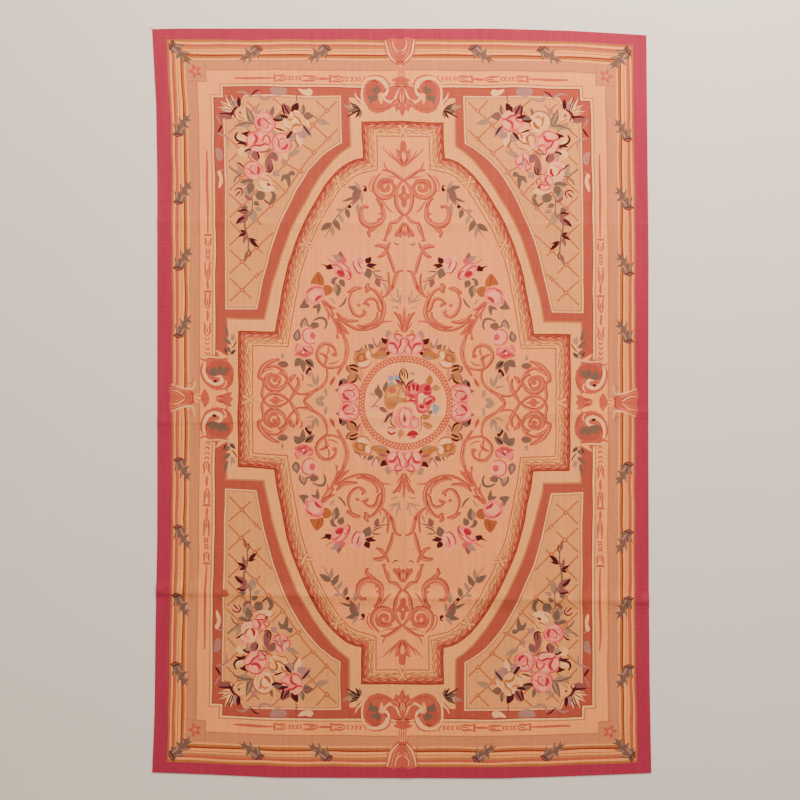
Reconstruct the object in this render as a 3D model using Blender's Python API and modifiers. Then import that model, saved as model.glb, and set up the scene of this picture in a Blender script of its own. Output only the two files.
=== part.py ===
"""Flat-woven wool rug of about 6 by 9 feet, lying face up on a floor.

The rug is one woven cloth, hemmed in itself, so it is one thin solid. It starts as a flat grid whose
lines crowd together at the creases. The grid is then shaped in two steps: its four edges stray from
straight as they do on the real rug, and the cloth lifts off the floor along the creases that are left
from folding it for storage. Solidify gives the sheet its thickness and Bevel rounds its hem.
"""

import bpy
import numpy as np

# Driving sizes in metres. The rug is long along Y, its face is up, and it rests on Z = 0.
RUG_WIDTH = 1.795
RUG_LENGTH = 2.743
CLOTH_THICKNESS = 0.003
HEM_ROUNDING = 0.0012
HEM_STEPS = 2

# How far each edge strays outwards from its straight line, in metres.
# Columns: place along the edge, from -1 to 1 along +Y or +X, and the distance outwards.
LEFT_EDGE = ((-1, 0.020), (-0.84, 0.011), (-0.6, 0.007), (-0.36, 0.001), (0.6, 0.001), (0.8, 0.005), (1, 0.020))
RIGHT_EDGE = ((-1, 0.011), (-0.75, 0.005), (-0.5, 0.002), (0, 0.0), (0.4, 0.001), (0.75, -0.004), (1, -0.007))
NEAR_EDGE = ((-1, -0.022), (-0.76, -0.014), (-0.5, -0.003), (0.4, 0.0), (0.7, -0.009), (1, -0.020))
FAR_EDGE = ((-1, -0.002), (-0.9, 0.0), (0.4, 0.0), (0.7, -0.008), (1, -0.024))

# The fold creases. Each is a low ridge across the whole cloth.
# Columns: where it meets the low edge and the high edge, its lift and its half width, in metres.
CROSS_CREASES = (
    (-0.699, -0.731, 0.0050, 0.034),
    (-0.078, -0.034, 0.0026, 0.030),
    (0.655, 0.650, 0.0020, 0.030),
)
LONG_CREASES = ((0.014, 0.004, 0.0020, 0.026),)

# Broad soft swells, where the cloth doesn't lie quite flat. Columns: x, y, lift and radius in metres.
SWELLS = (
    (0.62, -0.66, 0.0030, 0.26),
    (-0.22, -0.64, 0.0022, 0.22),
    (-0.72, -0.45, 0.0022, 0.20),
    (0.50, 0.02, 0.0020, 0.24),
    (-0.55, 0.72, 0.0018, 0.24),
)

# Grid lines at each crease, as shares of its half width, and the distance between the other lines.
CREASE_LINES = np.array((-1.0, -0.66, -0.33, 0.0, 0.33, 0.66, 1.0))
LINE_SPACING = 0.11

WOOL_COLOUR = (0.69, 0.33, 0.19, 1.0)
WOOL_ROUGHNESS = 0.95


def clear_scene():
    """Removes what the scene starts with."""
    for thing in list(bpy.data.objects):
        bpy.data.objects.remove(thing)


def soft_step(distance):
    """A smooth hump: 1 at no distance, 0 from a distance of 1 outwards, and level at both ends."""
    return np.where(np.abs(distance) < 1, (1 - np.minimum(distance**2, 1)) ** 2, 0.0)


def edge_strays(edge, place):
    """How far an edge strays outwards at each place along it, by its table."""
    places, outwards = np.array(edge).T
    return np.interp(place, places, outwards)


def outline_shift(across, along):
    """How far a point moves so that the straight rectangle takes the rug's outline.

    across and along run from -1 to 1. An edge moves by its own table, and inside the rug the shift
    goes evenly from one edge to the one opposite.
    """
    shift_x = edge_strays(RIGHT_EDGE, along) * (1 + across) / 2 - edge_strays(LEFT_EDGE, along) * (1 - across) / 2
    shift_y = edge_strays(FAR_EDGE, across) * (1 + along) / 2 - edge_strays(NEAR_EDGE, across) * (1 - along) / 2
    return shift_x, shift_y


def crease_lift(creases, across, place, size):
    """The lift that a set of creases gives: each is a hump across its own slightly slanting line."""
    lift = np.zeros_like(across)
    for start, end, height, half_width in creases:
        line = start + (end - start) * (across + 1) / 2
        lift = np.maximum(lift, height * soft_step((place * size / 2 - line) / half_width))
    return lift


def cloth_lift(across, along):
    """How high the cloth's underside is above the floor: its creases over its broad swells."""
    lift = crease_lift(CROSS_CREASES, across, along, RUG_LENGTH)
    lift = np.maximum(lift, crease_lift(LONG_CREASES, along, across, RUG_WIDTH))
    for x, y, height, radius in SWELLS:
        distance = np.hypot(across * RUG_WIDTH / 2 - x, along * RUG_LENGTH / 2 - y) / radius
        lift = lift + height * soft_step(distance)
    return lift


def grid_lines(creases, size):
    """Where the grid's lines cross the low and the high edge, from -1 to 1.

    Each crease has its own lines, which slant with it, and even lines fill the space between.
    """
    low, high = [], []
    for start, end, _, half_width in creases:
        low.extend(start + CREASE_LINES * half_width)
        high.extend(end + CREASE_LINES * half_width)
    low, high = np.sort(low), np.sort(high)
    low = np.concatenate(([-size / 2], low, [size / 2]))
    high = np.concatenate(([-size / 2], high, [size / 2]))
    filled = []
    for i in range(len(low) - 1):
        steps = max(1, round((low[i + 1] - low[i]) / LINE_SPACING))
        share = np.arange(steps) / steps
        filled.append(np.stack((low[i] + share * (low[i + 1] - low[i]), high[i] + share * (high[i + 1] - high[i]))))
    filled.append(np.array([[size / 2], [size / 2]]))
    return np.concatenate(filled, axis=1) * 2 / size


def wool_material():
    """Matt wool cloth in the rug's mean colour."""
    material = bpy.data.materials.new("rug_wool")
    material.use_nodes = True
    shader = material.node_tree.nodes["Principled BSDF"]
    shader.inputs["Base Color"].default_value = WOOL_COLOUR
    shader.inputs["Roughness"].default_value = WOOL_ROUGHNESS
    shader.inputs["Metallic"].default_value = 0.0
    return material


def woven_rug():
    """The rug: a grid shaped to its outline and lifted at its creases, thickened upwards and rounded at the hem."""
    rows_low, rows_high = grid_lines(CROSS_CREASES, RUG_LENGTH)
    columns_low, columns_high = grid_lines(LONG_CREASES, RUG_WIDTH)
    row_steps, column_steps = len(rows_low) - 1, len(columns_low) - 1
    bpy.ops.mesh.primitive_grid_add(x_subdivisions=column_steps, y_subdivisions=row_steps, size=2)
    rug = bpy.context.object
    rug.name = "woven_rug"
    rug.data.name = "woven_rug"
    points = np.empty(len(rug.data.vertices) * 3, np.float32)
    rug.data.vertices.foreach_get("co", points)
    points = points.reshape(-1, 3).astype(float)
    column = np.round((points[:, 0] + 1) / 2 * column_steps).astype(int)
    row = np.round((points[:, 1] + 1) / 2 * row_steps).astype(int)
    # A row slants with its place across the rug, and a column with its place along it.
    evenly_across = (columns_low + columns_high)[column] / 2
    evenly_along = (rows_low + rows_high)[row] / 2
    along = rows_low[row] + (rows_high - rows_low)[row] * (evenly_across + 1) / 2
    across = columns_low[column] + (columns_high - columns_low)[column] * (evenly_along + 1) / 2
    shift_x, shift_y = outline_shift(across, along)
    points[:, 0] = across * RUG_WIDTH / 2 + shift_x
    points[:, 1] = along * RUG_LENGTH / 2 + shift_y
    points[:, 2] = cloth_lift(across, along)
    middle = (points[:, :2].max(axis=0) + points[:, :2].min(axis=0)) / 2
    points[:, :2] -= middle
    rug.data.vertices.foreach_set("co", points.astype(np.float32).ravel())
    rug.data.update()
    rug.data.materials.append(wool_material())

    thickness = rug.modifiers.new("thickness", "SOLIDIFY")
    thickness.thickness = CLOTH_THICKNESS
    thickness.offset = 1.0
    hem = rug.modifiers.new("hem_rounding", "BEVEL")
    hem.width = HEM_ROUNDING
    hem.segments = HEM_STEPS
    hem.limit_method = "ANGLE"
    hem.angle_limit = np.radians(60)
    return rug


def main():
    clear_scene()
    collection = bpy.data.collections.new("wool_rug")
    bpy.context.scene.collection.children.link(collection)
    rug = woven_rug()
    for holder in list(rug.users_collection):
        holder.objects.unlink(rug)
    collection.objects.link(rug)


main()
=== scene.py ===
import bpy
import numpy as np
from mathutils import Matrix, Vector
from mathutils.geometry import delaunay_2d_cdt


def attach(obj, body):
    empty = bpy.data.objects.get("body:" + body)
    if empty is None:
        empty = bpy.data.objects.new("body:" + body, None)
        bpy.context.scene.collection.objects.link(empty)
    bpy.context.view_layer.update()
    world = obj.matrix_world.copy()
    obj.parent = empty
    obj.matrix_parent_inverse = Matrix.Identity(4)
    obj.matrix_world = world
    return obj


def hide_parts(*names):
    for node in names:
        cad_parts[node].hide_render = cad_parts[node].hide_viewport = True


# Looks of the tapestry-woven wool rug. The rug is one sheet whose face is cut into areas of yarn, as a
# tapestry weaver fills each area of the cartoon with its own colour. The cartoon is drawn in
# centimetres from the rug's middle, x across and y along, for a rug with straight edges. Motifs are
# drawn once, in the quarter where x and y are positive, and mirrored to the others. The finished
# cartoon is then laid on the cloth: it takes the uneven outline and the creases of the CAD's rug.

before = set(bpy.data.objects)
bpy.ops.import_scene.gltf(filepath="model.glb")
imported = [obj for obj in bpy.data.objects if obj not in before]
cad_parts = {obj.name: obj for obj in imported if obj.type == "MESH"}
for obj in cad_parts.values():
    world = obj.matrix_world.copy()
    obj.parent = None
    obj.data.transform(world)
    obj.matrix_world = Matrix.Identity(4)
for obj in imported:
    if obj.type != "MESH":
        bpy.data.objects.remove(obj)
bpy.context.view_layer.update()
CM = 0.01
SEED = 11
# How many of the cartoon's shapes the back shows over its first one: stripes, frames and one corner's panel.
BACK_SHAPES = 28

# Sizes of the hand-made rug, in metres, the same as the CAD's.
RUG_WIDTH = 1.795
RUG_LENGTH = 2.743
CLOTH_THICKNESS = 0.003
HEM_ROUNDING = 0.0012
# How far each edge strays outwards from its straight line. Columns: place along it, -1 to 1, and distance.
LEFT_EDGE = ((-1, 0.020), (-0.84, 0.011), (-0.6, 0.007), (-0.36, 0.001), (0.6, 0.001), (0.8, 0.005),
             (1, 0.020))
RIGHT_EDGE = ((-1, 0.011), (-0.75, 0.005), (-0.5, 0.002), (0, 0.0), (0.4, 0.001), (0.75, -0.004),
              (1, -0.007))
NEAR_EDGE = ((-1, -0.022), (-0.76, -0.014), (-0.5, -0.003), (0.4, 0.0), (0.7, -0.009), (1, -0.020))
FAR_EDGE = ((-1, -0.002), (-0.9, 0.0), (0.4, 0.0), (0.7, -0.008), (1, -0.024))
# The fold creases. Columns: where each meets the low and the high edge, its lift and its half width.
CROSS_CREASES = (
    (-0.699, -0.731, 0.0050, 0.034),
    (-0.078, -0.034, 0.0026, 0.030),
    (0.655, 0.650, 0.0020, 0.030),
)
LONG_CREASES = ((0.014, 0.004, 0.0020, 0.026),)
# Broad soft swells. Columns: x, y, lift and radius.
SWELLS = (
    (0.62, -0.66, 0.0030, 0.26),
    (-0.22, -0.64, 0.0022, 0.22),
    (-0.72, -0.45, 0.0022, 0.20),
    (0.50, 0.02, 0.0020, 0.24),
    (-0.55, 0.72, 0.0018, 0.24),
)

# How far the woven design strays from the rug's own middle lines, in centimetres.
# Columns: place along or across the rug, from -1 to 1, and the distance.
STRAY_ACROSS = ((-1, 0), (-0.55, 0), (-0.36, 0.2), (-0.18, 0.45), (0, 0.75), (0.18, 0.7), (0.55, 0.6),
                (0.73, 0.3), (0.9, 0), (1, 0))
STRAY_ALONG = ((-1, 1.3), (-0.55, 1.0), (-0.33, 0.6), (-0.13, 0.3), (0.3, 0.15), (0.75, 0.4), (1, 0.5))
# How much of the straying across is lost towards the sides, and the strip at each side in which the rest of
# it ends, as shares of the half width.
STRAY_FADE = 0.6
STILL_STRIP = 0.04
# The weaver's unevenness: how far lines wobble, the lengths of its waves, how much longer the waves across
# them are, and the strip at the edge where it fades, in centimetres.
WOBBLE = 0.12
WOBBLE_LENGTHS = (31.0, 17.0, 9.0)
CROSS_WAVE = 1.3
CALM_STRIP = 3.0

# The yarns' colours as they look in the room's light, in sRGB.
YARNS = {
    "crimson": "a32d49",
    "terracotta": "a94a3b",
    "coral": "bd5440",
    "pale coral": "d87a57",
    "rust": "8a2f1f",
    "ochre": "ad6636",
    "tan": "bd7344",
    "cream": "f2b27c",
    "peach": "f99b59",
    "grey rose": "cb7d56",
    "field": "f3965a",
    "panel": "df9357",
    "straw": "ee9f5f",
    "ring ground": "f6a267",
    "taupe": "705448",
    "pale taupe": "9f7760",
    "plum": "43111b",
    "mauve": "884c4a",
    "pale mauve": "a5726a",
    "pink": "ea766a",
    "pale pink": "f59878",
    "rose": "cf464c",
    "magenta": "b02436",
    "red": "9b1c27",
    "yellow": "d98f50",
    "blue": "868a98",
    "copper": "a2552c",
    "sienna": "b25f3c",
}
YARN_NAMES = tuple(YARNS)

# Mirrored places of a motif: signs of x and y.
QUARTERS = ((1, 1), (-1, 1), (1, -1), (-1, -1))
ONCE = ((1, 1),)
CORNERS = ((-1, 1), (1, -1))
OTHER_CORNERS = ((1, 1), (-1, -1))

cartoon = []


def linear_colour(hex_colour):
    """A linear RGBA colour from an sRGB hex value."""
    channels = np.array([int(hex_colour[i:i + 2], 16) for i in (0, 2, 4)]) / 255
    linear = np.where(channels <= 0.04045, channels / 12.92, ((channels + 0.055) / 1.055) ** 2.4)
    return (*linear.tolist(), 1.0)


def strays(table, place):
    """How far something strays at each place, by its table."""
    places, distances = np.array(table).T
    return np.interp(place, places, distances)


# Lines and outlines


def polar(angle, radius=1.0):
    """Points at an angle in degrees and a radius."""
    angle = np.radians(angle)
    return np.stack((np.cos(angle) * radius, np.sin(angle) * radius), axis=-1)


def smooth_path(points, steps=4):
    """A Catmull-Rom curve through the points, with `steps` pieces between each two."""
    points = np.array(points, float)
    before = np.vstack((2 * points[0] - points[1], points[:-1]))[:, None]
    after = np.vstack((points[1:], 2 * points[-1] - points[-2]))[:, None]
    t = (np.arange(steps) / steps)[None, :, None]
    a, b, c, d = before[:-1], points[:-1, None], points[1:, None], after[1:]
    curve = b + 0.5 * t * (c - a + t * (2 * a - 5 * b + 4 * c - d + t * (3 * (b - c) + d - a)))
    return np.vstack((curve.reshape(-1, 2), points[-1:]))


def sideways(path):
    """Unit vectors square to a path, on its left."""
    along = np.gradient(path, axis=0)
    along = along / np.maximum(np.hypot(*along.T), 1e-9)[:, None]
    return np.stack((-along[:, 1], along[:, 0]), axis=1)


def ribbon(path, width, start=0.15, end=0.15, bulge=0.5):
    """The outline of a line of yarn: the width carried along a path and narrowed towards both ends.

    start and end are the shares of the width at the ends, and bulge is where it is widest.
    """
    path = np.asarray(path, float)
    t = np.linspace(0, 1, len(path))
    share = np.where(t < bulge, start + (1 - start) * np.sin(np.pi / 2 * t / bulge),
                     end + (1 - end) * np.sin(np.pi / 2 * (1 - t) / (1 - bulge)))
    offset = sideways(path) * (width / 2 * share)[:, None]
    return np.vstack((path + offset, (path - offset)[::-1]))


def leaf_shape(length, width, bend=0.0, steps=5, fullness=0.75):
    """A leaf from the origin along x: a sine of the length to a power, on a midrib bent in a parabola."""
    t = np.linspace(0, 1, steps + 1)
    rib = np.stack((t * length, bend * length * 4 * t * (1 - t)), axis=1)
    half = width / 2 * np.sin(np.pi * t ** fullness)
    offset = sideways(rib) * half[:, None]
    return np.vstack((rib + offset, (rib - offset)[-2:0:-1]))


def rounded(radius, steps=10, squash=1.0, waves=0, depth=0.0):
    """A circle or ellipse, whose radius may rise and fall in waves round it, as a flower's edge does."""
    angle = np.arange(steps) * 360 / steps
    radii = radius * (1 + depth * np.cos(np.radians(angle * waves)))
    return polar(angle, radii) * (1, squash)


def moved(points, x=0.0, y=0.0, turn=0.0, scale=1.0, flip=False):
    """The points scaled, mirrored across their own x axis if flip, turned and moved."""
    points = np.asarray(points, float) * (scale, -scale if flip else scale)
    c, s = np.cos(np.radians(turn)), np.sin(np.radians(turn))
    across, along = points.T
    return np.stack((across * c - along * s + x, across * s + along * c + y), axis=1)


def placed(motif, **place):
    """A motif with all its shapes moved the same way."""
    return [(moved(points, **place), yarn) for points, yarn in motif]


def weave(motif, copies=ONCE):
    """Adds a motif's shapes to the cartoon in each of its mirrored places, over what is there already."""
    for signs in copies:
        for points, yarn in motif:
            cartoon.append((np.asarray(points, float) * signs, yarn))


def subdivided(corners, spacing):
    """A closed outline whose sides are cut into even pieces no longer than the spacing."""
    corners = np.asarray(corners, float)
    sides = np.roll(corners, -1, axis=0) - corners
    counts = np.maximum(1, np.ceil(np.hypot(*sides.T) / spacing).astype(int))
    side = np.repeat(np.arange(len(corners)), counts)
    step = np.arange(len(side)) - np.repeat(np.cumsum(counts) - counts, counts)
    return corners[side] + sides[side] * (step / counts[side])[:, None]


def inset(outline, distance):
    """A closed outline moved inwards, each corner along its mitre. The outline runs clockwise.

    The mitre is the sum of the inward unit vectors of the two sides, stretched so that both sides move
    by the distance.
    """
    to_next = np.roll(outline, -1, axis=0) - outline
    to_next = to_next / np.hypot(*to_next.T)[:, None]
    inward = np.stack((to_next[:, 1], -to_next[:, 0]), axis=1)
    mitre = inward + np.roll(inward, 1, axis=0)
    return outline + mitre / (mitre * mitre).sum(axis=1)[:, None] * 2 * distance


def box(half_width, half_length):
    """A rectangle round the middle, clockwise from the upper left."""
    return np.array(((-half_width, half_length), (half_width, half_length), (half_width, -half_length),
                     (-half_width, -half_length)))


def whole(quarter):
    """The closed clockwise outline whose upper right quarter is given, from the y axis to the x axis."""
    quarter = np.array(quarter, float)
    right = np.vstack((quarter, quarter[-2::-1] * (1, -1)))
    return np.vstack((right, right[-2:0:-1] * (-1, 1)))


# The frames

# The stripes, from the edge inwards. Columns: yarn, and the half width and half length at its outer edge.
STRIPES = (
    ("crimson", 89.75, 137.15),
    ("ochre", 84.7, 133.0),
    ("peach", 84.0, 132.1),
    ("coral", 83.35, 131.3),
    ("tan", 82.45, 130.4),
    ("peach", 82.0, 129.5),
    ("tan", 81.45, 128.95),
    ("peach", 81.15, 128.6),
    ("rust", 80.2, 127.6),
    ("ochre", 79.75, 127.05),
    ("peach", 79.0, 126.2),
    ("grey rose", 78.4, 125.55),
    ("tan", 74.95, 122.05),
    ("peach", 74.45, 121.55),
)
STRIPE_PIECE = 6.0
CORNER_BLOCK = (71.0, 117.3, 78.0, 125.0)
BLOCK_EDGE = 0.45

# Outlines of the frames' upper right quarters.
TERRACOTTA_FRAME = ((0, 115.6), (65.2, 115.6), (65.2, 111.5), (69.0, 111.5), (69.0, 0))
STRAW_BAND = ((0, 111.0), (19.6, 111.0), (19.6, 94.0), (22.8, 91.6), (25.5, 89.1), (28, 86.3), (30.5, 83.0),
              (33.2, 79.0), (36, 74.2), (38.6, 69.6), (41, 64.7), (43.1, 59.8), (45, 54.5), (46.8, 48.6),
              (48.4, 43.0), (49.5, 38.5), (50.5, 34.0), (51.3, 29.8), (65.0, 29.9), (65.0, 0))
GARLAND = ((0, 103.1), (15.0, 102.9), (15.0, 89.7), (17.6, 89.1), (20, 88.0), (22.6, 86.3), (25, 84.0),
           (27.1, 81.7), (29, 79.2), (31, 76.2), (33, 72.8), (35, 69.2), (36.8, 65.7), (38.4, 61.8),
           (40, 58.0), (41.4, 54.2), (42.6, 50.4), (43.7, 46.0), (45.1, 38.0), (46.4, 31.0), (47.3, 25.3),
           (60.8, 25.1), (60.8, 0))
PANEL = ((22.5, 112.4), (57.4, 112.4), (58.4, 110.2), (59.6, 107.4), (62.2, 104.2), (65.4, 103.6),
         (65.4, 33.0), (53.9, 33.1), (52.8, 38.0), (51.7, 43.2), (50.4, 49.0), (49.0, 54.3), (47.3, 60.0),
         (45.3, 65.0), (43.4, 69.2), (41.5, 73.4), (39.4, 77.2), (37.0, 81.3), (34.6, 84.7), (32.2, 87.6),
         (30, 89.8), (28, 91.4), (25.6, 93.2), (22.5, 95.0))
GARLAND_WIDTH = 5.6


def frames():
    """Nested areas, each smaller than the last, so that what shows of each is a stripe or a band."""
    for yarn, half_width, half_length in STRIPES:
        weave([(subdivided(box(half_width, half_length), STRIPE_PIECE), yarn)])
    x0, y0, x1, y1 = CORNER_BLOCK
    block = np.array(((x0, y0), (x0, y1), (x1, y1), (x1, y0)))
    weave([(block, "tan"), (block + BLOCK_EDGE, "grey rose")], QUARTERS)
    frame_edge = subdivided(whole(TERRACOTTA_FRAME), STRIPE_PIECE)
    for yarn, distance in (("tan", -1.15), ("cream", -0.7), ("rust", 0.0), ("terracotta", 0.3)):
        weave([(inset(frame_edge, distance), yarn)])
    band = subdivided(whole(STRAW_BAND), STRIPE_PIECE)
    weave([(band, "tan"), (inset(band, 0.6), "straw")])
    panel = subdivided(PANEL, STRIPE_PIECE)
    panel_field = [(panel, "cream"), (inset(panel, 0.5), "tan"), (inset(panel, 0.9), "panel")]
    weave(panel_field, QUARTERS)


# The lattice of the corner panels

LATTICE_STEP = (5.3, 5.15)
LATTICE_START = (59.2, 40.4)
LATTICE_RISE = ((34.0, 4.7), (44.0, 0.0))
LATTICE_LINE = 0.55
LATTICE_LEANS = (-14, 14)
LATTICE_COLUMNS = 9
LATTICE_ROWS = 16
# Lines are tried at every eighth of a column, and every sixth of those places is kept as a point.
LATTICE_TRIES = 0.125
LATTICE_KEPT = 6
LATTICE_MARGIN = 1.1
STAR_MARGIN = 0.6
STAR_RADIUS = 0.8
STAR_HEART = 0.32
STAR_DEPTH = 0.45


def inside(outline, points):
    """Whether each point lies inside a closed outline: an odd number of sides are to its right."""
    a, b = outline, np.roll(outline, -1, axis=0)
    x, y = points[:, :1], points[:, 1:]
    spans = (a[:, 1] > y) != (b[:, 1] > y)
    rise = np.where(b[:, 1] == a[:, 1], 1e-9, b[:, 1] - a[:, 1])
    crossing = a[:, 0] + (y - a[:, 1]) / rise * (b[:, 0] - a[:, 0])
    return (spans & (x < crossing)).sum(axis=1) % 2 == 1


def lattice_place(column, row):
    """Where a column and a row of the diamond grid meet: even steps, and a rise towards the rug's middle."""
    x = LATTICE_START[0] - column * LATTICE_STEP[0]
    return np.stack((x, LATTICE_START[1] + row * LATTICE_STEP[1] + strays(LATTICE_RISE, x)), axis=-1)


def lattice():
    """Slanting lines through the nodes of a diamond grid, kept to the panel, with a star on each node."""
    field = inset(subdivided(PANEL, STRIPE_PIECE), LATTICE_MARGIN)
    star_field = inset(field, STAR_MARGIN)
    column = np.arange(-1, LATTICE_COLUMNS, LATTICE_TRIES)
    for lean in (1, -1):
        for line in range(*LATTICE_LEANS):
            points = lattice_place(column, lean * column + 2 * line)
            held = points[inside(field, points)]
            if len(held) > 3:
                weave([(ribbon(held[::LATTICE_KEPT], LATTICE_LINE, 1, 1), "sienna")], QUARTERS)
    for i in range(LATTICE_COLUMNS):
        for j in range(i % 2 - 2, LATTICE_ROWS, 2):
            x, y = lattice_place(np.float64(i), j)
            if inside(star_field, np.array(((x, y),)))[0]:
                weave([(moved(rounded(STAR_RADIUS, 16, waves=4, depth=STAR_DEPTH), x, y), "sienna"),
                       (moved(rounded(STAR_HEART, 6), x, y), "peach")], QUARTERS)


# The garland round the field

GARLAND_LEAVES = (
    # Yarn, distance inwards from the garland's edge, spacing, length, width and lean of the leaves.
    ("rust", 1.0, 3.7, 3.0, 0.6, 12),
    ("pale coral", 1.6, 3.3, 3.4, 0.55, -14),
    ("coral", 2.3, 4.1, 3.8, 0.8, 9),
    ("sienna", 2.9, 2.9, 4.4, 0.42, -13),
    ("ochre", 3.5, 3.1, 4.8, 0.45, 10),
    ("sienna", 4.2, 3.1, 4.6, 0.42, -9),
)
LEAF_BEND = 0.06
LEAF_TURN = 4
# Where two bands cross over the garland: the middle of each crossing and its direction, the bands' leans
# from it, and their half length and bulge.
GARLAND_CROSSINGS = ((0.0, 99.2, 0), (23.6, 80.6, -48), (35.6, 57.6, -66), (57.0, 0.0, 90))
CROSSING_LEANS = (58, -58)
CROSSING_BAND = np.array(((-2.5, 0), (0, 0.25), (2.5, 0)))


def along_path(path, spacing):
    """Evenly spaced places on a closed path: x, y and the path's direction in degrees."""
    path = np.vstack((path, path[:1]))
    steps = np.hypot(*np.diff(path, axis=0).T)
    length = np.concatenate(((0,), np.cumsum(steps)))
    count = int(round(length[-1] / spacing))
    places = (np.arange(count) + 0.5) * length[-1] / count
    x, y = np.interp(places, length, path[:, 0]), np.interp(places, length, path[:, 1])
    near = np.clip(np.searchsorted(length, places) - 1, 0, len(steps) - 1)
    direction = np.degrees(np.arctan2(*np.diff(path, axis=0)[near].T[::-1]))
    return zip(x, y, direction)


def garland():
    """The leafy frame: a dark edge, a terracotta strip with rust leaves, and a pale strip of leaf lines."""
    edge = subdivided(whole(GARLAND), STRIPE_PIECE)
    draw = np.random.default_rng(SEED + 2)
    for yarn, distance in (("rust", 0.0), ("terracotta", 0.5), ("tan", 2.2), ("straw", 2.7),
                           ("sienna", GARLAND_WIDTH - 0.45), ("field", GARLAND_WIDTH)):
        weave([(inset(edge, distance), yarn)])
    for yarn, distance, spacing, length, width, lean in GARLAND_LEAVES:
        for x, y, direction in along_path(inset(edge, distance), spacing):
            leaf = leaf_shape(length, width, draw.uniform(-LEAF_BEND, LEAF_BEND), 3)
            turn = direction + lean * np.sign(x * y or 1) + draw.uniform(-LEAF_TURN, LEAF_TURN)
            weave([(moved(moved(leaf, -length / 2), x, y, turn), yarn)])
    for x, y, turn in GARLAND_CROSSINGS:
        for lean in CROSSING_LEANS:
            for yarn, width in (("sienna", 1.3), ("straw", 0.75)):
                band = ribbon(smooth_path(CROSSING_BAND, 3), width, 1, 1)
                weave([(moved(band, x, y, turn + lean), yarn)], QUARTERS)


# Flowers, leaves and scrolls

# Pieces of curve between two points of a patch and of a line, and the shares of a line's width at its ends.
PATCH_STEPS = 2
LINE_STEPS = 2
LINE_END = 0.5
# The shading of lines wider than this: the dark edge below them and the pale streak on them, in centimetres.
SHADED_WIDTH = 0.85
EDGE_SHIFT = np.array((0.12, -0.12))
EDGE_WIDTH = 0.3
STREAK_SHIFT = np.array((0.1, -0.1))
STREAK_SHARE = 0.28
STREAK_END = 0.2


def drawn(rows, widen=1.0, shades=None):
    """The shapes of a motif's rows, whose columns are yarn, width, and then each point's x and y.

    A row without a width is a patch with a smooth outline through its points, one with two points is a
    leaf from its base to its tip, and one with more is a tapered line of yarn along a smooth curve. With
    two shades, a wide line gets the first as a dark edge below it and the second as a pale streak on it.
    """
    shapes, edges = [], []
    for yarn, width, *numbers in rows:
        points = np.reshape(numbers, (-1, 2))
        width = width * widen
        if not width:
            wrapped = np.vstack((points[-1:], points, points[:2]))
            shape = smooth_path(wrapped, PATCH_STEPS)[PATCH_STEPS:-PATCH_STEPS - 1]
        elif len(points) == 2:
            reach = points[1] - points[0]
            turn = np.degrees(np.arctan2(*reach[::-1]))
            shape = moved(leaf_shape(np.hypot(*reach), width), *points[0], turn)
        else:
            path = smooth_path(points, LINE_STEPS)
            shape = ribbon(path, width, LINE_END, LINE_END)
        shapes.append((shape, yarn))
        if shades and width > SHADED_WIDTH and len(points) > 2:
            edge = ribbon(path + EDGE_SHIFT, width + EDGE_WIDTH, LINE_END, LINE_END)
            streak = ribbon(path[1:-1] - STREAK_SHIFT, width * STREAK_SHARE, STREAK_END, STREAK_END)
            edges.append((edge, shades[0]))
            shapes.append((streak, shades[1]))
    return edges + shapes


# The yarns of each kind of rose.
ROSES = {
    "pink": {"petal": "pink", "pale": "pale pink", "edge": "rose", "heart": "magenta"},
    "pale": {"petal": "cream", "pale": "straw", "edge": "tan", "heart": "ochre"},
    "cream": {"petal": "cream", "pale": "straw", "edge": "sienna", "heart": "copper"},
    "red-hearted": {"petal": "cream", "pale": "pale pink", "edge": "pink", "heart": "red"},
}
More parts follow.
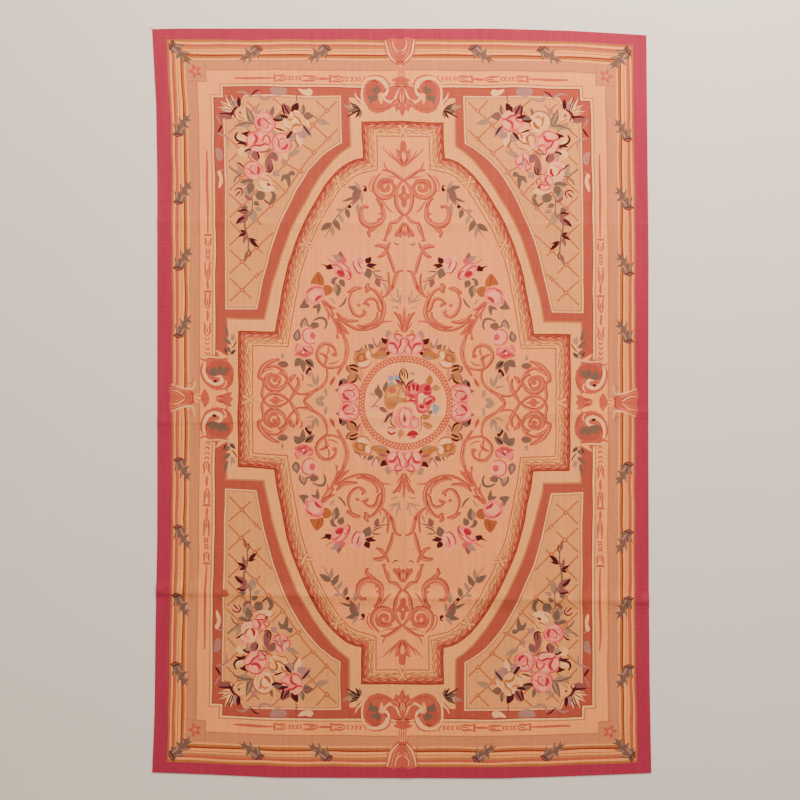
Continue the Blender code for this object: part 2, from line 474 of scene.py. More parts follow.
# The two shapes of a rose for a radius of 1, in the rows that drawn() takes.
ROSE_SHAPES = {
    "open": (
        ("petal", 0, -1, 0.2, -0.75, 0.7, -0.3, 0.8, 0.1, 1.02, 0.6, 0.75, 1, 0.3, 0.85, -0.2, 0.95, -0.55,
         0.4, -0.95,
         0, -0.85, -0.45, -1, -0.75, -0.55),
        ("pale", 0, -0.8, 0.3, -0.4, 0.75, 0.2, 0.85, 0.65, 0.5, 0.2, 0.4, -0.35, 0.3),
        ("pale", 0, -0.85, -0.1, -0.4, 0.1, -0.15, -0.3, -0.4, -0.75, -0.75, -0.5),
        ("pale", 0, 0.3, -0.1, 0.8, 0.15, 0.75, -0.4, 0.35, -0.7, 0.15, -0.45),
        ("heart", 0.17, -0.85, 0.3, -0.45, 0.15, 0, 0.35, 0.4, 0.3, 0.7, 0.55),
        ("heart", 0.24, -0.45, 0.05, -0.15, -0.1, 0, -0.4, -0.1, -0.75),
        ("edge", 0.22, 0.3, 0.1, 0.5, -0.2, 0.9, -0.35),
        ("edge", 0.16, -0.9, -0.15, -0.75, -0.6, -0.35, -0.9, 0.1, -0.85, 0.5, -0.95),
        ("edge", 0.15, -0.7, 0.75, -0.2, 0.85, 0.2, 1, 0.6, 0.75),
        ("heart", 0.14, 0.85, 0.45, 0.95, 0, 0.8, -0.3),
    ),
    "cupped": (
        ("petal", 0, -0.9, 0.45, -0.45, 0.95, 0.15, 0.95, 0.75, 0.7, 1, 0.1, 0.8, -0.55, 0.3, -0.9, -0.35,
         -1, -0.8,
         -0.6, -1, -0.05),
        ("pale", 0, -0.1, 0.75, 0.5, 0.65, 0.75, 0.1, 0.45, -0.4, 0.1, -0.1, 0.15, 0.35),
        ("pale", 0, -0.75, -0.2, -0.3, -0.45, 0.3, -0.55, -0.1, -0.8, -0.6, -0.65),
        ("edge", 0.16, 0.1, 0.95, 0.7, 0.75, 1, 0.15, 0.85, -0.45, 0.35, -0.85, -0.3, -0.95),
        ("heart", 0.32, -0.3, 0.55, -0.55, 0.2, -0.5, -0.25),
        ("heart", 0.16, -0.35, -0.3, 0.05, -0.25, 0.25, -0.1, 0.7, 0),
        ("edge", 0.16, -0.95, 0.3, -0.7, 0.75, -0.2, 0.95),
        ("edge", 0.18, 0.1, 0.55, 0.4, 0.35, 0.3, 0.0),
    ),
}


def rose(kind, shape, x, y, radius, turn=0.0):
    """A rose from the front: its petals as patches, and bold lines along their edges and at its heart."""
    rows = [(ROSES[kind][part], *numbers) for part, *numbers in ROSE_SHAPES[shape]]
    return placed(drawn(rows), x=x, y=y, turn=turn, scale=radius)


# A feathery leaf sprig that grows along x from its dark tie, which slants across it: its jagged body, its
# leaflets and veins, and the tie.
SPRIG_BODY = ((-0.6, -1.7), (1.2, -1.7), (3.6, -3.8), (3.0, -1.9), (4.4, -1.5), (7.2, -3.0), (6.2, -1.1),
              (7.4, -0.9), (9.2, -1.6), (8.3, -0.3), (10.2, 0.5), (8.0, 0.7), (7.8, 2.1), (6.2, 1.0),
              (5.4, 1.2), (4.8, 2.9), (3.8, 1.3), (2.8, 1.5), (2.2, 2.5), (1.1, 1.7))
SPRIG_ROWS = (
    ("pale mauve", 0.9, 0.9, 0.6, 4.6, 0.5),
    ("pale taupe", 0.5, 1.2, -0.8, 3.7, -2.7),
    ("pale taupe", 0.5, 3.6, -0.6, 6.9, -2.2),
    ("pale taupe", 0.45, 3.2, 0.5, 4.8, 2.1),
    ("pale taupe", 0.45, 5.8, 0.2, 7.6, 1.5),
    ("mauve", 0.3, 1.2, 0.0, 5.0, 0.0, 9.2, 0.3),
    ("mauve", 0, -0.7, -1.8, -0.6, 0.3, 0.9, 1.8, 0.5, -0.2),
    ("plum", 0.38, -0.7, -1.9, 0.3, -0.8, 0.6, 0.4, 1.0, 2.0),
    ("plum", 0.3, -0.7, -1.9, -0.7, -0.4, -0.4, 0.7, 0.9, 1.9),
)
# Where the sprigs grow on the stripes: x, y, direction and size.
SPRIGS = (
    (82.4, 22.6, 118, 0.93), (82.4, 47.6, 118, 0.93), (82.4, 72.2, 118, 0.93), (82.4, 97.4, 118, 0.93),
    (26.4, 130.3, -36, 0.93), (51.2, 130.3, -36, 0.93), (83.2, 131.0, -134, 1.0),
)
BLOCK_STAR = (75.0, 121.2, 1.9)

# The carved rod down the middle of the peach frame: its line, and where its parts start and end.
ROD_LINES = {"side": 71.8, "end": 118.7}
ROD_PARTS = {
    "side": (("rod", 61, 91.6), ("bar", 60.3), ("tulip", 59.5, 56), ("bead", 54.8), ("bead", 53.8),
             ("bead", 52.6), ("bead", 51.6), ("lyre", 50.5, 43.5), ("rod", 40, 43.5), ("bar", 39.3),
             ("lyre", 39.2, 33), ("rod", 28.5, 32.5), ("tulip", 28, 23), ("bead", 22), ("bead", 20.2),
             ("bead", 18.3), ("bead", 16.6)),
    "end": (("rod", 46.8, 61), ("bar", 46.3), ("tulip", 46, 41.8), ("bead", 41), ("bead", 39.8),
            ("bead", 38.3), ("bead", 37), ("lyre", 36, 30.5), ("rod", 26.4, 30.3), ("bar", 26),
            ("tulip", 26, 20.6), ("bead", 20), ("bead", 18.3), ("bead", 16.8), ("bead", 15.4)),
}


def rod(parts):
    """The rod's parts along x: plain rods, crossbars, bent beads, and tulips and lyres of two strands."""
    rows = []
    for part, start, *end in parts:
        end = end[0] if end else start
        third = (end - start) / 3
        if part == "rod":
            rows.append(("coral", 0.95, start, 0, start + third, 0.05, start + 2 * third, -0.05, end, 0))
        elif part == "bar":
            rows.append(("coral", 0, start - 0.35, -1.2, start - 0.35, 1.2,
                         start + 0.35, 1.2, start + 0.35, -1.2))
        elif part == "bead":
            rows.append(("coral", 0.6, start + 0.5, 0.65, start - 0.3, 0.5,
                         start - 0.3, -0.5, start + 0.5, -0.6))
        else:
            spread = 1.3 if part == "tulip" else 1.0
            for side in (1, -1):
                rows.append(("coral", 0.75, start, side * spread, start + third, side * 0.75,
                             start + 2 * third, side * spread * 0.8, end, side * 0.15))
            rows.append(("terracotta", 0.5, start + third * 1.2, 0, start + third * 2.6, 0))
    return drawn(rows)


# The ornament at the middle of each end, over the stripes and the frame.
END_ORNAMENT = (
    ("coral", 0, 0, 133.1, 5.3, 133.1, 4.9, 129.5, 4.2, 126.5, 2.4, 124.3, 0, 123.4),
    ("cream", 0.7, 5.2, 133, 4.5, 129.7, 3.4, 126.6, 1.3, 124.5),
    ("terracotta", 0.35, 5.7, 132.8, 5.1, 129, 5.3, 125.3),
    ("pale coral", 0.4, 3.8, 132.6, 3.2, 129.4, 2.2, 126.6, 1, 125.2),
    ("cream", 0.4, 2.4, 132.8, 2.3, 130.6, 1.2, 129.2, 0.2, 128.8),
    ("pale coral", 0.5, 0.6, 127.8, 1.6, 128.2, 2.2, 129.3),
    ("rust", 0.4, 1.9, 125.4, 0.9, 124.6, 0.2, 124.8),
    ("peach", 0, 0, 123.6, 1.4, 123.2, 1.2, 119.4, 0, 119.2),
    ("coral", 0.4, 0.5, 124, 0.3, 121.5, 0.5, 119.2),
    ("coral", 0.4, 1.2, 123.6, 0.9, 121.5, 1.4, 119.2),
    ("coral", 0, 0, 119.4, 1.2, 119.1, 2.9, 118.6, 3.2, 117.8, 2, 117.5, 2.7, 116.3, 0, 116),
    ("coral", 0, 9.2, 118.6, 13, 117, 15, 112.6, 13, 108, 9, 106, 4.8, 107.3, 1.8, 110, 0.4, 113, 0.3, 115.4,
     4, 115.6),
    ("cream", 0.75, 12.9, 118.6, 14.3, 116.2, 14.7, 112.8, 14, 109.8, 12.6, 107.9),
    ("coral", 0.5, 13.6, 120, 13.2, 119, 14.8, 117.3),
    ("coral", 0.6, 12.6, 119.4, 9.4, 119.9, 6.2, 119.1, 4.6, 117, 4.2, 114.6),
    ("cream", 1.5, 12.4, 118.6, 9.2, 119, 6.7, 117.8, 5.3, 115.4, 5.6, 113.2, 7, 112),
    ("coral", 0.35, 11.2, 118.2, 8.8, 118.1, 7.3, 116.8, 6.6, 114.8),
    ("terracotta", 0, 9.6, 117.4, 12.4, 116.6, 13.2, 113.6, 11.4, 111.4, 8.6, 111.4, 7.4, 113.6, 7.8, 116),
    ("rust", 0.5, 11, 117.4, 9.6, 117.9, 8.4, 117),
    ("taupe", 0, 7.9, 115.6, 9, 116.2, 10, 115.2, 11.3, 115, 10.4, 113.6, 9, 113.2, 8.1, 114.2),
    ("taupe", 0, 8.6, 112.6, 10.6, 112.8, 12.6, 112.2, 11.9, 111, 11.6, 109, 10.6, 110.6, 9.2, 110.8),
    ("straw", 0, 7.4, 113.6, 8.6, 112.8, 8.2, 110.6, 7.6, 109.2, 7, 110.8, 6.2, 112.6),
    ("plum", 0.45, 5.5, 115.2, 5.9, 114.2, 6.3, 113.7),
    ("cream", 0.95, 7, 113, 6.2, 111, 4.4, 110, 2.4, 111, 1.3, 113.4, 0.3, 115),
    ("pale coral", 0.35, 6, 110.3, 4.4, 109.4, 2.4, 110.2, 1.1, 111.8),
    ("terracotta", 0.5, 12.4, 109.2, 9.4, 107.6, 6.2, 107.8, 3.6, 109.1),
    ("rust", 0.35, 3.8, 115.5, 2, 115.8, 0.1, 115.6),
    ("coral", 0, 0, 115, 1.2, 113.4, 1.7, 111.4, 3.6, 110.4, 4.9, 107.9, 3, 108.4, 2.2, 106.4, 1.2, 107.4,
     0, 104.6),
    ("pale coral", 0.4, 0.4, 113.6, 0.8, 111.6, 1.8, 110, 3.6, 109),
    ("straw", 0.4, 0.3, 112.6, 0.5, 110, 1.2, 108.4),
    ("rust", 0.4, 1.5, 112.4, 1.2, 110.6, 0.4, 109),
    ("coral", 1.4, 17.2, 113.8, 16.6, 111.6, 15.2, 110.4, 14.4, 108.6),
    ("cream", 0.7, 17.1, 113.4, 16.4, 111.7, 15.1, 110.6, 14.6, 109.2, 14.9, 107.6),
    ("straw", 1.6, 19.4, 111.2, 17.6, 110.8, 16.2, 109.4),
    ("pale taupe", 1.4, 18.4, 107.6, 21.9, 109.1),
    ("taupe", 1.5, 15.6, 107.6, 19.5, 109.9),
    ("plum", 0.35, 15.8, 107.7, 17.4, 109, 19.2, 110),
    ("taupe", 2.0, 15.2, 107.4, 20.3, 106.4),
    ("plum", 0.5, 15.4, 107.7, 17, 107.8, 18.6, 108.4),
    ("plum", 0.7, 15.3, 107.2, 17.6, 106.1, 20.2, 104.6),
    ("plum", 1.0, 15.1, 107.1, 17.3, 104),
    ("taupe", 1.1, 15, 107, 15.6, 104.2),
)

# The ornament at the middle of each side.
SIDE_ORNAMENT = (
    ("coral", 0, 85, 0, 85, 5.3, 82, 4.2, 78.6, 3.1, 76.4, 1.8, 76, 0),
    ("cream", 0.65, 84.9, 5.1, 82, 3.9, 79.4, 3.2, 77, 3.4, 76.4, 6.4),
    ("coral", 0.4, 79.4, 5.4, 77.8, 5.3, 77.2, 7.2),
    ("pale coral", 0.4, 84.8, 3.9, 81.6, 2.9, 78.6, 2),
    ("cream", 0.4, 84.6, 2.5, 82.6, 2.3, 80.6, 1.1, 79.8, 0.2),
    ("tan", 0.5, 84, 1.3, 82, 1, 80.8, 0.1),
    ("rust", 0.4, 77.7, 2.1, 77, 1, 77.2, 0.1),
    ("peach", 0, 76.6, 0, 76.5, 1.5, 74, 1.5, 73.6, 0),
    ("coral", 0.45, 76.6, 0.6, 74.8, 0.9, 73, 0.5),
    ("coral", 0, 74.4, 0, 73.8, 1.8, 72.8, 3.4, 71.6, 1.8, 71, 0),
    ("peach", 0, 71.2, 0, 70.4, 2.4, 68, 3.8, 65.6, 3.6, 64, 1.6, 64, 0),
    ("coral", 0, 68.8, 0, 68.2, 1.2, 66.4, 1.6, 64.4, 2.6, 62.8, 2.4, 63.6, 1, 62.6, 0),
    ("rust", 0.35, 68, 0.9, 66.8, 0.8, 65.8, 1.2),
    ("coral", 0, 74.6, 9.6, 73.4, 13.4, 69.8, 15.6, 65.6, 14.6, 62.6, 11.4, 62.6, 7, 64.2, 4.2, 68.6, 3,
     72.6, 5),
    ("cream", 1.5, 72.8, 13.4, 73.2, 9.6, 71.6, 6.4, 68.6, 5.2, 66.8, 6.4, 67.4, 8.2, 69.6, 8.4),
    ("coral", 0.35, 73.7, 12.4, 74, 9, 72.4, 6, 69.4, 4.4, 66.6, 5.2),
    ("terracotta", 0, 71.8, 10, 71, 13, 68, 14.2, 64.8, 13.6, 63.2, 11, 64.4, 8.6, 67.4, 8.8, 70, 8),
    ("rust", 0.4, 72.2, 11.6, 72.2, 10.2, 71.4, 8.6),
    ("taupe", 0, 71.8, 8.8, 70.6, 11.2, 69, 11.2, 68, 9.2, 69.4, 8.2),
    ("taupe", 0, 68.4, 10, 67.6, 12.4, 66.4, 11.4, 64.2, 11.6, 65, 9.6, 66.6, 8.8),
    ("plum", 0, 70.2, 6.1, 69.4, 6.8, 68.6, 6.6, 69, 5.7),
    ("straw", 0.7, 65.8, 7, 65.2, 5.4, 66.4, 4),
    ("terracotta", 0.9, 63, 9.4, 63.6, 6.4, 64.8, 4.2),
    ("coral", 0.7, 74.6, 14.6, 73.2, 13.9, 71.4, 14.1, 69.6, 14.7),
    ("cream", 0.5, 73.6, 14.9, 71, 15.2, 67.8, 15, 64.6, 15.2),
    ("coral", 0.45, 72.6, 15.4, 70, 15.8, 67.6, 15.6, 65.2, 15.9),
    ("peach", 0, 68.9, 17.7, 67.8, 17.6, 66, 16.4, 64.6, 15.4, 66, 15.2, 68, 15.8),
    ("coral", 0.5, 68.8, 17.5, 68.2, 16.4, 67.4, 15.9),
    ("straw", 1.2, 64.8, 17.6, 63.6, 16, 63, 14.4),
    ("taupe", 1.3, 64.4, 22.4, 65.6, 27.2),
    ("taupe", 1.5, 63.4, 20, 66.5, 22.6),
    ("pale mauve", 1.0, 62.9, 21, 62.9, 24.6),
    ("pale taupe", 0.8, 62.4, 21.4, 61.9, 24),
    ("plum", 0.45, 61.2, 21.5, 62, 20, 63.1, 18.7),
    ("taupe", 1.9, 63.8, 17.2, 65.4, 19.4),
    ("plum", 0.45, 65.8, 18.7, 65.2, 17.2, 64, 16.3),
    ("taupe", 1.6, 63.6, 16.2, 61.6, 18.4),
    ("plum", 0.45, 61.7, 18.4, 62.6, 17.2, 63.4, 16.9),
)

# The stem and leaves that hang below each corner bouquet.
HANGING_SPRIG = (
    ("pale taupe", 2.2, 55.6, 70.4, 54.4, 64.6),
    ("taupe", 0.45, 55.4, 76, 55.4, 72, 55.4, 69, 57, 67.6, 57.9, 65.8, 57.9, 63.4, 57.4, 61.4, 56.9, 58.6,
     56.9, 55,
     57.6, 52.8, 58.6, 51),
    ("plum", 0.35, 56.8, 55.4, 56.2, 53.8, 56.6, 52.3),
    ("mauve", 1.1, 57.2, 54.6, 58.2, 50.6),
    ("taupe", 1.5, 57, 70.6, 59.6, 70.9),
    ("mauve", 1.5, 56.2, 68.8, 60.5, 69.2),
    ("plum", 0.6, 57, 69.7, 58.8, 69.8, 60.5, 69.3),
    ("mauve", 1.9, 56.6, 67.9, 61.2, 64.6),
    ("plum", 0.9, 58.2, 67.1, 59.8, 66.4, 61.1, 64.7),
    ("plum", 0.7, 57.6, 61.6, 59.9, 62.4),
    ("plum", 0.9, 57.4, 61.4, 60.9, 59.7),
    ("mauve", 1.0, 57.8, 60.8, 58.7, 57),
    ("plum", 0.7, 56.9, 59.2, 53.5, 58.4),
    ("plum", 1.1, 56.4, 58.8, 53.1, 55.8),
)

# The loose ribbons over the terracotta frame beside each bouquet.
FRAME_RIBBONS = (
    ("pale mauve", 0.8, 60.2, 113.2, 58.2, 113.7, 56.4, 112.8, 55.2, 111.9),
    ("plum", 0.6, 52, 114.2, 53.6, 113.7, 55.2, 112),
    ("pale mauve", 1.0, 52.4, 113.4, 51.6, 111.2, 49.6, 110.7, 47.2, 111.8),
    ("pale mauve", 0, 48.2, 115, 45.2, 115.3, 42.1, 115, 42.2, 113, 44.8, 112, 47.4, 112.6),
    ("mauve", 0.5, 38.1, 114.4, 38.6, 112.8, 38.4, 111.2, 38.8, 109.8),
    ("cream", 0, 37.6, 115, 35, 114.6, 33.2, 115, 32.4, 113.6, 33.4, 112.5, 35.8, 112.9, 37.2, 114),
    ("pale mauve", 0.6, 68, 104.6, 67.2, 103, 66.2, 101.4),
    ("plum", 0.8, 66, 101, 66.8, 99.6, 67.8, 98.2),
    ("pale mauve", 0.9, 67.6, 97.8, 66, 97.2, 64.4, 96.8, 63.8, 95, 63.9, 93),
    ("pale mauve", 0, 68.4, 92.6, 66.4, 92, 65.8, 90, 66.2, 88, 67.6, 87.8, 68.2, 90),
    ("pale mauve", 0.5, 65, 84, 66.4, 84.6, 67.8, 83.6),
    ("cream", 0, 67.2, 84.4, 66.4, 82.8, 66.3, 80, 67.6, 77.5, 67.9, 79.2, 67.4, 81.6, 68.2, 83.4),
)

# The bouquet's spiky bud, its cream body and long leaves, in the panel's cut corner.
CORNER_BUD = (
    ("mauve", 0, 66.4, 105, 64.4, 105.2, 62.8, 104.8, 62.2, 103.4, 64.6, 103.3, 66.6, 103.8),
    ("cream", 1.1, 61.8, 107, 64.4, 112.6),
    ("cream", 1.1, 62, 106.8, 66.4, 109.9),
    ("cream", 1.1, 62, 106.2, 67.2, 107.6),
    ("cream", 1.0, 61.4, 107.4, 62.2, 112.6),
    ("pale mauve", 1.2, 60.8, 107.6, 60.7, 111.6),
    ("plum", 0.35, 61.7, 107.4, 62.6, 109.6, 64, 112.1),
    ("plum", 0.35, 61.2, 107.6, 61.9, 110, 62.8, 112.2),
    ("rust", 0.3, 62, 107, 64, 108.2, 66.4, 109.6),
    ("rust", 0.3, 62.2, 106.6, 64.6, 106.8, 67, 107.4),
    ("straw", 0, 61.2, 106, 59.6, 107.8, 57.3, 107.6, 55.2, 106.2, 55, 104, 56.5, 103, 59, 103, 60.8, 103.8),
    ("plum", 0.6, 66.8, 105.2, 64.6, 105.4, 62.6, 105.2, 61.8, 106.4, 61, 107.4, 60, 107.9),
    ("plum", 0.45, 62.7, 104.2, 61.9, 105.4, 60.9, 103.8),
    ("plum", 1.2, 59.3, 107.8, 59.3, 112),
    ("taupe", 0, 60, 105.8, 59.1, 106.5, 58.9, 105.1),
    ("ochre", 0.35, 60.2, 105, 59, 103.8, 57.4, 103.2),
    ("taupe", 1.9, 54.4, 101.2, 57, 108.4),
    ("pale taupe", 0.7, 54.6, 102.2, 56.7, 107.6),
    ("pale taupe", 2.0, 54.4, 101.8, 61.2, 101.2),
    ("taupe", 0.6, 54.6, 101.8, 57.6, 102, 61.4, 100.7),
    ("pale mauve", 1.1, 53.2, 105, 53.9, 108.2),
    ("pale taupe", 0.8, 52.7, 104.8, 52, 107.4),
    ("taupe", 1.2, 48.3, 104.3, 47.1, 108.4),
    ("pale taupe", 1.0, 48.4, 104.5, 49.8, 107.2),
)

# The leaves round the roses of the bouquet in the upper left and lower right corners.
BOUQUET_LEAVES = (
    ("mauve", 2.4, 41.2, 105.2, 43.6, 109.6),
    ("plum", 0.6, 43.9, 108.9, 43.7, 107, 43.1, 105),
    ("plum", 0.55, 43.2, 108.8, 42.2, 107, 41.1, 105.4),
    ("plum", 0, 37.9, 109.9, 40.3, 108.3, 40.4, 106.1, 39.2, 107, 37.8, 107.1),
    ("taupe", 1.9, 43, 104.4, 47.3, 103.8),
    ("plum", 0.8, 47.3, 103.7, 46, 103, 43.8, 103.3),
    ("plum", 0.9, 44.8, 105.3, 43.4, 104.6, 41.6, 104.4),
    ("taupe", 1.4, 36.6, 105.4, 35.8, 109.4),
    ("pale taupe", 0.6, 36.9, 105.8, 36.6, 108.6),
    ("taupe", 2.3, 36.2, 105.2, 32.2, 104.8),
    ("mauve", 0.8, 36, 105.4, 33.2, 105),
    ("taupe", 0.35, 32.9, 105.4, 31.8, 104.6, 30.8, 103.4),
    ("pale taupe", 1.8, 31.4, 103.4, 26.6, 102),
    ("pale mauve", 2.2, 36.6, 101.2, 33.2, 97),
    ("plum", 0.6, 36.3, 101.4, 35.2, 99.8, 33.8, 98),
    ("pale mauve", 2.1, 38.3, 98.8, 35, 96.8),
    ("pale mauve", 1.9, 40.3, 99, 41.2, 95),
    ("plum", 0, 40.1, 99.3, 41.6, 98.8, 42.8, 96.6, 41.9, 96.4, 40.9, 97.6),
    ("taupe", 0.35, 39.3, 98.4, 39.3, 95.4, 37.9, 92.8),
    ("pale taupe", 1.5, 42.3, 90, 37.3, 92.4),
    ("plum", 0.5, 46.7, 100.3, 45, 99.7, 43.3, 99.1),
    ("pale taupe", 1.6, 47.6, 98.9, 46.4, 98),
    ("plum", 0, 55.9, 99, 57.6, 98.8, 59.8, 97.6, 58.4, 96.9, 56.9, 96.9, 56.8, 98),
    ("straw", 1.0, 56.8, 96.4, 60.8, 98),
    ("plum", 0.7, 60.3, 98.5, 61.1, 97, 60.4, 95.4, 58.8, 94.8, 56.8, 94.4),
    ("plum", 0.6, 60.6, 94, 58.8, 94.3, 56.9, 93.6),
    ("plum", 1.7, 55.6, 92.5, 58.9, 89.5),
    ("pale taupe", 1.4, 56, 92, 57.4, 89),
    ("mauve", 2.4, 54.8, 91.8, 53, 87.8),
    ("plum", 0.5, 53.4, 91.2, 52.6, 90, 52.6, 88.6),
    ("taupe", 0.5, 52.6, 91.4, 50.4, 91.4, 48.4, 92.2),
    ("mauve", 0, 48.3, 91.4, 50, 89.4, 50.6, 86.4, 49.8, 84.2, 48.3, 84, 47.7, 86, 48.2, 88.6),
    ("plum", 0.45, 50.4, 84.3, 48.9, 83.9, 47.9, 85, 48, 87),
    ("plum", 0.35, 49, 86.6, 49.2, 85.2, 48.7, 84.5),
    ("mauve", 2.1, 48, 91.4, 46.2, 87.8),
    ("taupe", 1.1, 47.9, 91.4, 45.9, 89),
    ("pale mauve", 1.8, 47.7, 84.3, 45.2, 82.6),
    ("pale mauve", 0, 44.2, 90, 43.6, 88.8, 42.4, 88.4, 43.2, 87.8, 43.2, 85.8, 44, 87.4, 45, 87.2, 44.4,
     88.2),
    ("taupe", 0, 40, 84.4, 41.3, 84.5, 42.4, 83.4, 44.3, 83.1, 45.1, 80.2, 43.7, 81.4, 43, 81, 42.2, 78.4,
     41.3, 81,
     41.5, 82.8, 39.8, 82.8),
    ("rust", 0.9, 50.3, 79.6, 48.7, 78.7),
    ("ochre", 0.3, 49, 79.2, 47, 78.4, 45.6, 76.8),
    ("ochre", 0.35, 53.5, 80.4, 53, 78.6, 51.3, 77.3),
    ("ochre", 0.35, 50.4, 83, 48.9, 82.4, 47.8, 80.6),
    ("ochre", 0.35, 52, 81.8, 50.6, 80.8, 49.2, 80.9),
    ("taupe", 0.45, 63.9, 85.7, 62, 84.2, 60, 83.1, 58.4, 83.2),
    ("pale taupe", 1.2, 58.8, 83.4, 60.8, 87),
    ("pale taupe", 0.9, 59, 83.2, 62.4, 84.8),
    ("plum", 0.5, 60.9, 87.4, 59.6, 86.9, 58.4, 85.5),
    ("taupe", 0.5, 59.4, 82.8, 61.4, 81.8, 62.4, 79.8),
    ("taupe", 1.7, 54.7, 80.5, 60.3, 80.1),
    ("pale taupe", 0.7, 55.4, 79.9, 59.6, 79.1),
    ("taupe", 2.3, 55.5, 80, 56.6, 75.8),
    ("pink", 1.4, 59.2, 77.6, 61.4, 75.4),
    ("plum", 0.4, 62, 76.9, 61, 77.9, 59.6, 77.8, 59, 76.6, 59.8, 75),
    ("plum", 0.4, 61.6, 75, 60.8, 76, 59.8, 77),
    ("taupe", 0, 51, 76.4, 53, 76.9, 54.2, 75.6, 53.6, 73.8, 51.6, 73.6, 50.8, 74.8),
    ("taupe", 1.3, 48.6, 76.5, 47.5, 75.2, 48.2, 73.2, 49.6, 72),
    ("plum", 0.4, 51.2, 73.6, 50.4, 72.9, 49.4, 72.4),
    ("mauve", 1.1, 58.2, 75.5, 57, 74.2, 55.4, 73.8),
    ("taupe", 1.4, 55, 73, 52.6, 71.6),
    ("pale taupe", 1.4, 54.4, 70.6, 51.4, 69.7),
    ("straw", 1.6, 51, 89.6, 52.4, 86.4),
    ("straw", 1.6, 58.6, 91.4, 57, 88.6),
)
# The pale petals that fill the bouquet between its roses and leaves.
BOUQUET_PETALS = (
    ("straw", 0, 47.8, 101.2, 44.8, 101.8, 42.2, 99.8, 43.4, 98.2, 46.6, 98.8),
    ("cream", 0, 39.4, 98.8, 38.8, 95.6, 37.4, 93.6, 36.6, 96, 37.4, 98.8),
    ("straw", 0, 53.8, 90.8, 50.4, 91.6, 51.2, 88.4, 52.6, 85.8, 53.6, 88.2),
    ("cream", 0, 56.8, 92.6, 59.6, 92.8, 60.4, 90.8, 57.6, 89.2),
    ("cream", 0, 56.6, 97.6, 60.2, 97.4, 60.8, 95.6, 57, 95.2),
    ("straw", 0, 52.8, 83.6, 50, 84, 47.6, 82.4, 47.8, 80.6, 51, 80.8),
    ("cream", 0, 53.8, 79.6, 51.4, 80.4, 48.2, 79.6, 47.2, 77.2, 49.6, 76.4, 52.8, 76.8),
    ("pale taupe", 0, 56, 79.4, 54.6, 77.6, 55, 75.4, 57.8, 75.2, 58.6, 77.6),
    ("straw", 0, 42.6, 92, 44.6, 91.4, 45.6, 88.6, 43.4, 87.6, 42, 89.6),
)
BOUQUET_ROSES = (
    ("pale", "open", 38.8, 102.6, 4.6, 40), ("pink", "cupped", 50.4, 102.3, 3.9, 200),
    ("pink", "open", 52.9, 95.2, 4.5, 160), ("pink", "cupped", 44.6, 94.6, 3.7, 60),
    ("pink", "cupped", 55, 84.5, 3.6, 20),
)
# The bouquet of the other two corners has other roses.
OTHER_ROSES = (
    ("pink", "open", 40, 103.6, 4.4, 10), ("cream", "cupped", 50.4, 103, 4.0, 60),
    ("cream", "open", 44.8, 96.4, 3.8, 150), ("pink", "open", 53.2, 95.6, 4.4, 220),
    ("pink", "open", 44.2, 88.4, 3.4, 300), ("red-hearted", "cupped", 56.2, 85, 3.8, 30),
    ("pink", "open", 51.6, 81, 3.2, 170),
)

